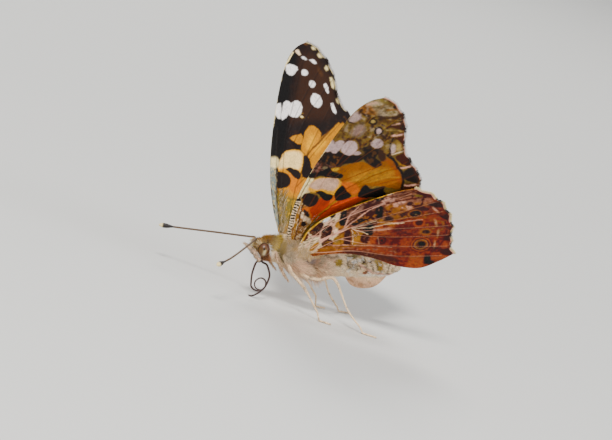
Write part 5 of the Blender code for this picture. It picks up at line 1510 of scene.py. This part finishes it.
def mirrored(points, side):
    return [(x, y if side == "left" else -y, z) for x, y, z in points]


def build_eye(side):
    """Banded compound eye, its lower half sunk in the head."""
    sign = -1 if side == "left" else 1
    bm = bmesh.new()
    bmesh.ops.create_uvsphere(bm, u_segments=64, v_segments=48, radius=1.0)
    mesh = mesh_of(bm, "eye_" + side)
    co = coordinates(mesh)
    local = np.column_stack((co[:, 0], co[:, 2] * sign, co[:, 1]))
    x, y, z = EYE_CENTRE
    set_coordinates(mesh, to_world(local * np.array(EYE_HALF) + np.array((x, sign * y * EYE_INSET, z))) * MM)
    front, top = local[:, 0], local[:, 2]

    def band(value, middle, reach):
        return np.exp(-((value - middle) / reach) ** 2)

    pale = band(front, -0.12, 0.22) * step_between(0.3 - top, 0.0, 0.25) * step_between(top, -0.85, -0.5)
    streak = band(front - 0.42 + 0.45 * (top - 0.35), 0.0, 0.09) * step_between(top, -0.1, 0.2)
    pupil = band(front, -0.27, 0.15) * band(top, 0.24, 0.17)
    colours = shade("ochre") * 0.42
    for share, colour in ((0.85 * band(front, 0.5, 0.24), shade("rust") * 0.5),
                          (0.6 * band(front, -0.66, 0.2), shade("brown") * 0.8),
                          (0.6 * step_between(top, 0.15, 0.6), shade("mauve") * 0.6),
                          (np.clip(pale * 1.25, 0, 1), shade("greypale") * np.array((0.95, 1.0, 0.85))),
                          (0.8 * streak, shade("umber")),
                          (0.8 * step_between(np.hypot(front, top), 0.93, 1.0), shade("umber")),
                          (np.clip(pupil * 1.6, 0, 1), shade("soot"))):
        colours = toward(colours, colour, share[:, None])
    set_colours(mesh, "coat_colour", colours)
    mesh.shade_smooth()
    face_outward(mesh)
    finish = Finish("eye_" + side, Specular_IOR_Level=0.35, Coat_Roughness=0.25, Coat_Weight=0.12)
    tint, facets = finish.cells(EYE_FACETS)
    material = finish.paint(Base_Color=finish.toned("coat_colour", 0.85 + tint * 0.2),
                            Roughness=0.34 + tint * 0.1, Normal=finish.bump(1 - facets, 0.00001, 0.4))
    finished_object("eye_" + side + "_lens", mesh, material, "eye_surface", "eye_" + side)


def limb_piece(name, form, sides, colours, finish, slot_name, replaced):
    """Closed limb, coloured by how far along its path each place is."""
    mesh = form.mesh(name, sides)
    world = coordinates(mesh)
    gaps = np.linalg.norm(world[:, None] - form.centres[None, ::2], axis=2)
    set_colours(mesh, "coat_colour", colours(form.run[::2][gaps.argmin(1)], world))
    set_coordinates(mesh, world * MM)
    face_outward(mesh)
    finished_object(name, mesh, finish, slot_name, replaced)


def limb_coat(name, form, per_square, length, width, lift, bend, colours, slot_name, seed):
    """Scales and hairs standing along a limb."""
    rng = np.random.default_rng(seed)
    run, angle = form.scatter(per_square, rng, 0.0, form.run[-1])
    count = len(run)
    root, out, lie = form.spot(run, angle)
    lie = unit(lie + np.cross(out, lie) * rng.normal(0, 0.25, count)[:, None])
    tint = colours(run, root) * rng.uniform(0.75, 1.2, count)[:, None]
    lengths = length(run) * rng.uniform(0.6, 1.25, count)
    mesh = tuft_mesh(name, root, out, lie, lengths, width * rng.uniform(0.7, 1.3, count), tint,
                     form.places(run, angle), lift * rng.uniform(0.4, 1.6, count), bend)
    finished_object(name, mesh, bpy.data.materials["limb_hair"], slot_name)


def build_palp(side):
    path = to_world(smooth_path(mirrored(PALP_PATH, side), 0.1))
    radii = spread(PALP_RADII, len(path))
    radii[0] = radii[-1] = 0.0
    form = Form(path, radii)

    def tint(run, place):
        dark = step_between(run, 3.4, 4.6)[:, None]
        return toward(shade("hairpink"), shade("brown"), 0.75 * dark)

    def hair(run, place):
        rng = np.random.default_rng(5)
        dark = (rng.uniform(0, 1, len(run)) < 0.06 + 0.6 * step_between(run, 3.2, 4.4))[:, None]
        under = (rng.uniform(0, 1, len(run)) < 0.3)[:, None]
        return np.where(dark, shade("bristle"), np.where(under, shade("lilac_pale"), shade("linen")))

    limb_piece("palp_" + side + "_core", form, 20, tint, skin_finish("palp_" + side, 12000.0), "palp_scales",
               "palp_" + side)
    limb_coat("palp_" + side + "_coat", form, 190, lambda run: 0.36 + 0.12 * step_between(run, 2.8, 3.6),
              0.055, 0.5, 0.2, hair, "palp_scales", 51)


def build_antenna(side):
    path = to_world(smooth_path(ANTENNA_PATHS[side], 0.05))
    run = runs(path)
    left = run[-1] - run
    ring = 0.5 + 0.5 * np.cos(run / ANTENNA_RING * math.tau)
    club = step_between(CLUB_LENGTH - left, 0.0, 1.2)
    radii = ANTENNA_RADIUS * (1 + 0.10 * ring) + (CLUB_RADIUS - ANTENNA_RADIUS) * club
    radii *= np.sqrt(np.clip(left / 0.55, 0, 1))
    radii[0] = 0.0
    form = Form(path, radii)

    def tint(place, world):
        pale = (0.5 + 0.5 * np.cos(place / ANTENNA_RING * math.tau)) ** 2
        shaft = toward(shade("brown") * 0.75, shade("greytan"), 0.8 * pale[:, None])
        rest = run[-1] - place
        shaft = toward(shaft, shade("soot"), step_between(CLUB_LENGTH + 0.3 - rest, 0.0, 0.5)[:, None])
        return toward(shaft, shade("cream"), step_between(0.65 - rest, 0.0, 0.25)[:, None])

    limb_piece("antenna_" + side + "_rings", form, 16, tint, skin_finish("antenna_" + side, 16000.0, 0.45),
               "feeler_cuticle", "antenna_" + side)


def coil_path():
    """Points of the tongue's left half, which ends in a loop."""
    points = list(GALEA_LEFT_PATH)
    for t in np.linspace(0, 1, COIL_STEPS + 1):
        angle = math.radians(COIL_START + COIL_TURN * t)
        radius = COIL_RADII[0] + (COIL_RADII[1] - COIL_RADII[0]) * min(1.0, 1.6 * t)
        points.append((COIL_CENTRE[0] + radius * math.cos(angle), COIL_SIDE - COIL_SLIDE * t,
                       COIL_CENTRE[1] + radius * math.sin(angle)))
    return points


def build_tongue():
    left = to_world(smooth_path(coil_path(), 0.06))
    points = list(to_world(GALEA_RIGHT_PATH))
    lowest = points[-1]
    for ahead in (0.75, TONGUE_TIP_LENGTH):
        points.append((lowest[0] - ahead, lowest[1], TONGUE_RADIUS))
    right = smooth_path(points, 0.06)
    finish = skin_finish("tongue", 14000.0, 0.32, 0.0, 0.55)

    def tint(place, world):
        share = (0.25 + 0.25 * np.cos(place / TONGUE_RING * math.tau))[:, None]
        return toward(shade("tongue"), shade("brownred") * 0.5, share)

    for side, path, end in (("left", left, 0.09), ("right", right, 0.12)):
        run = runs(path)
        ring = 1 + 0.05 * np.cos(run / TONGUE_RING * math.tau)
        radii = (TONGUE_RADIUS + (end - TONGUE_RADIUS) * run / run[-1]) * ring
        radii *= np.sqrt(np.clip((run[-1] - run) / 0.25, 0, 1))
        radii[0] = 0.0
        form = Form(path, radii)
        limb_piece(f"galea_{side}_tube", form, 14, tint, finish, "tongue_cuticle", "galea_" + side)


def build_leg(name):
    kind, side = name.split("_")
    points = list(to_world(LEG_PATHS[name]))
    sign = -1 if side == "left" else 1
    heading = np.array((math.cos(FOOT_SPLAY), sign * math.sin(FOOT_SPLAY), 0))
    ankle = points[-1]
    heel = np.array((ankle[0], ankle[1], FOOT_RISE)) + heading * HEEL_LENGTH
    toe = heel + heading * (FOOT_LENGTHS[kind] - HEEL_LENGTH)
    path = resampled(np.vstack((smooth_path(points, 0.08), heel, toe)), 150)
    run = runs(path)
    thigh = 1 - step_between(run / run[-1], 0.3, 0.55)
    foot = step_between(run / run[-1], 0.72, 0.82)
    knots = 0.5 + 0.5 * np.cos(run / FOOT_KNOT * math.tau)
    radii = (LEG_RADIUS + THIGH_SWELL * thigh - 0.02 * foot) * (1 + 0.16 * knots * foot)
    radii[0] = radii[-1] = 0.0
    form = Form(path, radii)
    form.centres[:, 2] = np.maximum(form.centres[:, 2], radii)
    rng = np.random.default_rng(61)

    def tint(run, place):
        speckle = step_between(grain(np.column_stack((run, place[:, 1])), 0.28, 8), 0.35, 0.6)[:, None]
        return toward(shade("linen"), shade("brown"), 0.55 * speckle)

    def hairs(run, place):
        dark = (rng.uniform(0, 1, len(run)) < 0.16)[:, None]
        return np.where(dark, shade("brown"), shade("linen") * 1.1)

    limb_piece(name + "_core", form, 16, tint, skin_finish(name, 12000.0), "leg_scales", name)
    limb_coat(name + "_coat", form, 75, lambda run: 0.16 + np.interp(run, form.run, 0.32 * thigh), 0.05, 0.28,
              0.08, hairs, "leg_scales", 62)


def build_foreleg(side):
    name = "foreleg_" + side
    path = to_world(smooth_path(mirrored(FORELEG_PATH, side), 0.08))
    radii = spread(FORELEG_RADII, len(path))
    radii[0] = radii[-1] = 0.0
    form = Form(path, radii)
    rng = np.random.default_rng(71)

    def tint(run, place):
        return np.tile(shade("hairpink"), (len(run), 1))

    def hairs(run, place):
        return toward(shade("linen"), shade("tan"), rng.uniform(0, 1, len(run))[:, None])

    limb_piece(name + "_core", form, 16, tint, skin_finish(name, 12000.0), "leg_scales", name)
    limb_coat(name + "_coat", form, 150, lambda run: 0.62 - 0.06 * run, 0.055, 0.5, 0.15, hairs,
              "leg_scales", 72)


# Stage

def view_axes():
    """Right, up and back directions of the camera in the floor's frame."""
    a, e, roll = VIEW_AZIMUTH, VIEW_HEIGHT, VIEW_ROLL
    back = np.array((math.sin(a) * math.cos(e), -math.cos(a) * math.cos(e), math.sin(e)))
    right = np.array((math.cos(a), math.sin(a), 0.0))
    up = np.cross(back, right)
    turned_right = right * math.cos(roll) + up * math.sin(roll)
    turned_up = -right * math.sin(roll) + up * math.cos(roll)
    return turn(turned_right), turn(turned_up), turn(back)


def add_light(name, place, size, power, colour):
    data = bpy.data.lights.new(name, "AREA")
    data.shape = "DISK"
    data.size = size
    data.energy = power
    data.color = colour
    obj = bpy.data.objects.new(name, data)
    obj.location = place
    obj.rotation_euler = (Vector(LIGHT_TARGET) - Vector(place)).to_track_quat("-Z", "Y").to_euler()
    bpy.context.scene.collection.objects.link(obj)


def build_stage():
    right, up, back = (Vector(v) for v in view_axes())
    hinge = Vector(to_world(np.zeros(3)))
    eye = (hinge + back * VIEW_DISTANCE + right * VIEW_SHIFT[0] + up * VIEW_SHIFT[1]) * MM
    data = bpy.data.cameras.new("camera")
    data.lens = LENS
    data.sensor_width = SENSOR
    data.clip_start = 0.01
    data.dof.use_dof = False
    camera = bpy.data.objects.new("camera", data)
    camera.matrix_world = Matrix.Translation(eye) @ Matrix((right, up, back)).transposed().to_4x4()
    bpy.context.scene.collection.objects.link(camera)
    bpy.context.scene.camera = camera

    bm = bmesh.new()
    bmesh.ops.create_grid(bm, x_segments=1, y_segments=1, size=FLOOR_REACH)
    mesh = mesh_of(bm, "floor")
    finish = Finish("floor_paper")
    cloud = finish.noise(2.0, 3.0)
    colour = finish.mix(cloud, (0.62, 0.62, 0.60, 1), (0.70, 0.70, 0.68, 1))
    mesh.materials.append(finish.paint(Base_Color=colour, Roughness=0.9,
                                       Normal=finish.bump(finish.noise(900.0, 3.0), 0.0002, 0.15)))
    floor = bpy.data.objects.new("floor", mesh)
    bpy.context.scene.collection.objects.link(floor)

    for light in LIGHTS:
        add_light(*light)
    world = bpy.data.worlds.new("studio")
    world.use_nodes = True
    background = world.node_tree.nodes["Background"]
    background.inputs["Color"].default_value = SKY_COLOUR
    background.inputs["Strength"].default_value = SKY_STRENGTH
    bpy.context.scene.world = world


# Operators

class PAINTEDLADY_OT_stage(bpy.types.Operator):
    """Add the floor, the soft lights and the camera."""
    bl_idname = "painted_lady.stage"
    bl_label = "Stage"

    def execute(self, context):
        build_stage()
        return {"FINISHED"}


class PAINTEDLADY_OT_wings(bpy.types.Operator):
    """Model the four wings and paint both of their faces."""
    bl_idname = "painted_lady.wings"
    bl_label = "Wings"

    def execute(self, context):
        for pair in ("fore", "hind"):
            wing_finish(pair + "wing_paint")
            for side in ("left", "right"):
                build_wing(pair, side)
        return {"FINISHED"}


class PAINTEDLADY_OT_wing_hair(bpy.types.Operator):
    """Add the margins' fringes and the hair at the wing bases."""
    bl_idname = "painted_lady.wing_hair"
    bl_label = "Wing fringes and hair"

    def execute(self, context):
        coat_finish("wing_hair")
        for side in ("left", "right"):
            for pair in ("fore", "hind"):
                build_fringe(pair, side)
            build_wing_hair(side)
        return {"FINISHED"}


class PAINTEDLADY_OT_body(bpy.types.Operator):
    """Model the skin of the head, thorax and abdomen."""
    bl_idname = "painted_lady.body"
    bl_label = "Body skin"

    def execute(self, context):
        build_body()
        return {"FINISHED"}


class PAINTEDLADY_OT_coat(bpy.types.Operator):
    """Cover the body with hair and hair-like scales."""
    bl_idname = "painted_lady.coat"
    bl_label = "Body coat"

    def execute(self, context):
        build_coat()
        return {"FINISHED"}


class PAINTEDLADY_OT_head_parts(bpy.types.Operator):
    """Model the eyes, palps, feelers and tongue."""
    bl_idname = "painted_lady.head_parts"
    bl_label = "Head parts"

    def execute(self, context):
        coat_finish("limb_hair", 0.55)
        for side in ("left", "right"):
            build_eye(side)
            build_palp(side)
            build_antenna(side)
        build_tongue()
        return {"FINISHED"}


class PAINTEDLADY_OT_legs(bpy.types.Operator):
    """Model the legs with their scales and hair."""
    bl_idname = "painted_lady.legs"
    bl_label = "Legs"

    def execute(self, context):
        for name in LEG_PATHS:
            build_leg(name)
        for side in ("left", "right"):
            build_foreleg(side)
        return {"FINISHED"}


STEPS = ("stage", "wings", "wing_hair", "body", "coat", "head_parts", "legs")


class PAINTEDLADY_PT_panel(bpy.types.Panel):
    """Sidebar panel with the steps and the main settings."""
    bl_idname = "PAINTEDLADY_PT_panel"
    bl_label = "Painted Lady"
    bl_space_type = "VIEW_3D"
    bl_region_type = "UI"
    bl_category = "Painted Lady"

    def draw(self, context):
        chosen = context.scene.painted_lady
        for name in ("membrane", "vein_rise", "fur_length", "fringe_length", "ragged"):
            self.layout.prop(chosen, name)
        box = self.layout.box()
        for name in PaintedLadyColours.__annotations__:
            box.prop(chosen.colours, name)
        for step in STEPS:
            self.layout.operator("painted_lady." + step)


CLASSES = (PaintedLadyColours, PaintedLadySettings, PAINTEDLADY_OT_stage, PAINTEDLADY_OT_wings,
           PAINTEDLADY_OT_wing_hair, PAINTEDLADY_OT_body, PAINTEDLADY_OT_coat, PAINTEDLADY_OT_head_parts,
           PAINTEDLADY_OT_legs, PAINTEDLADY_PT_panel)


def register():
    for cls in CLASSES:
        bpy.utils.register_class(cls)
    bpy.types.Scene.painted_lady = bpy.props.PointerProperty(type=PaintedLadySettings)


def unregister():
    del bpy.types.Scene.painted_lady
    for cls in reversed(CLASSES):
        bpy.utils.unregister_class(cls)


def main():
    register()
    for step in STEPS:
        getattr(bpy.ops.painted_lady, step)()


if __name__ == "__main__":
    main()
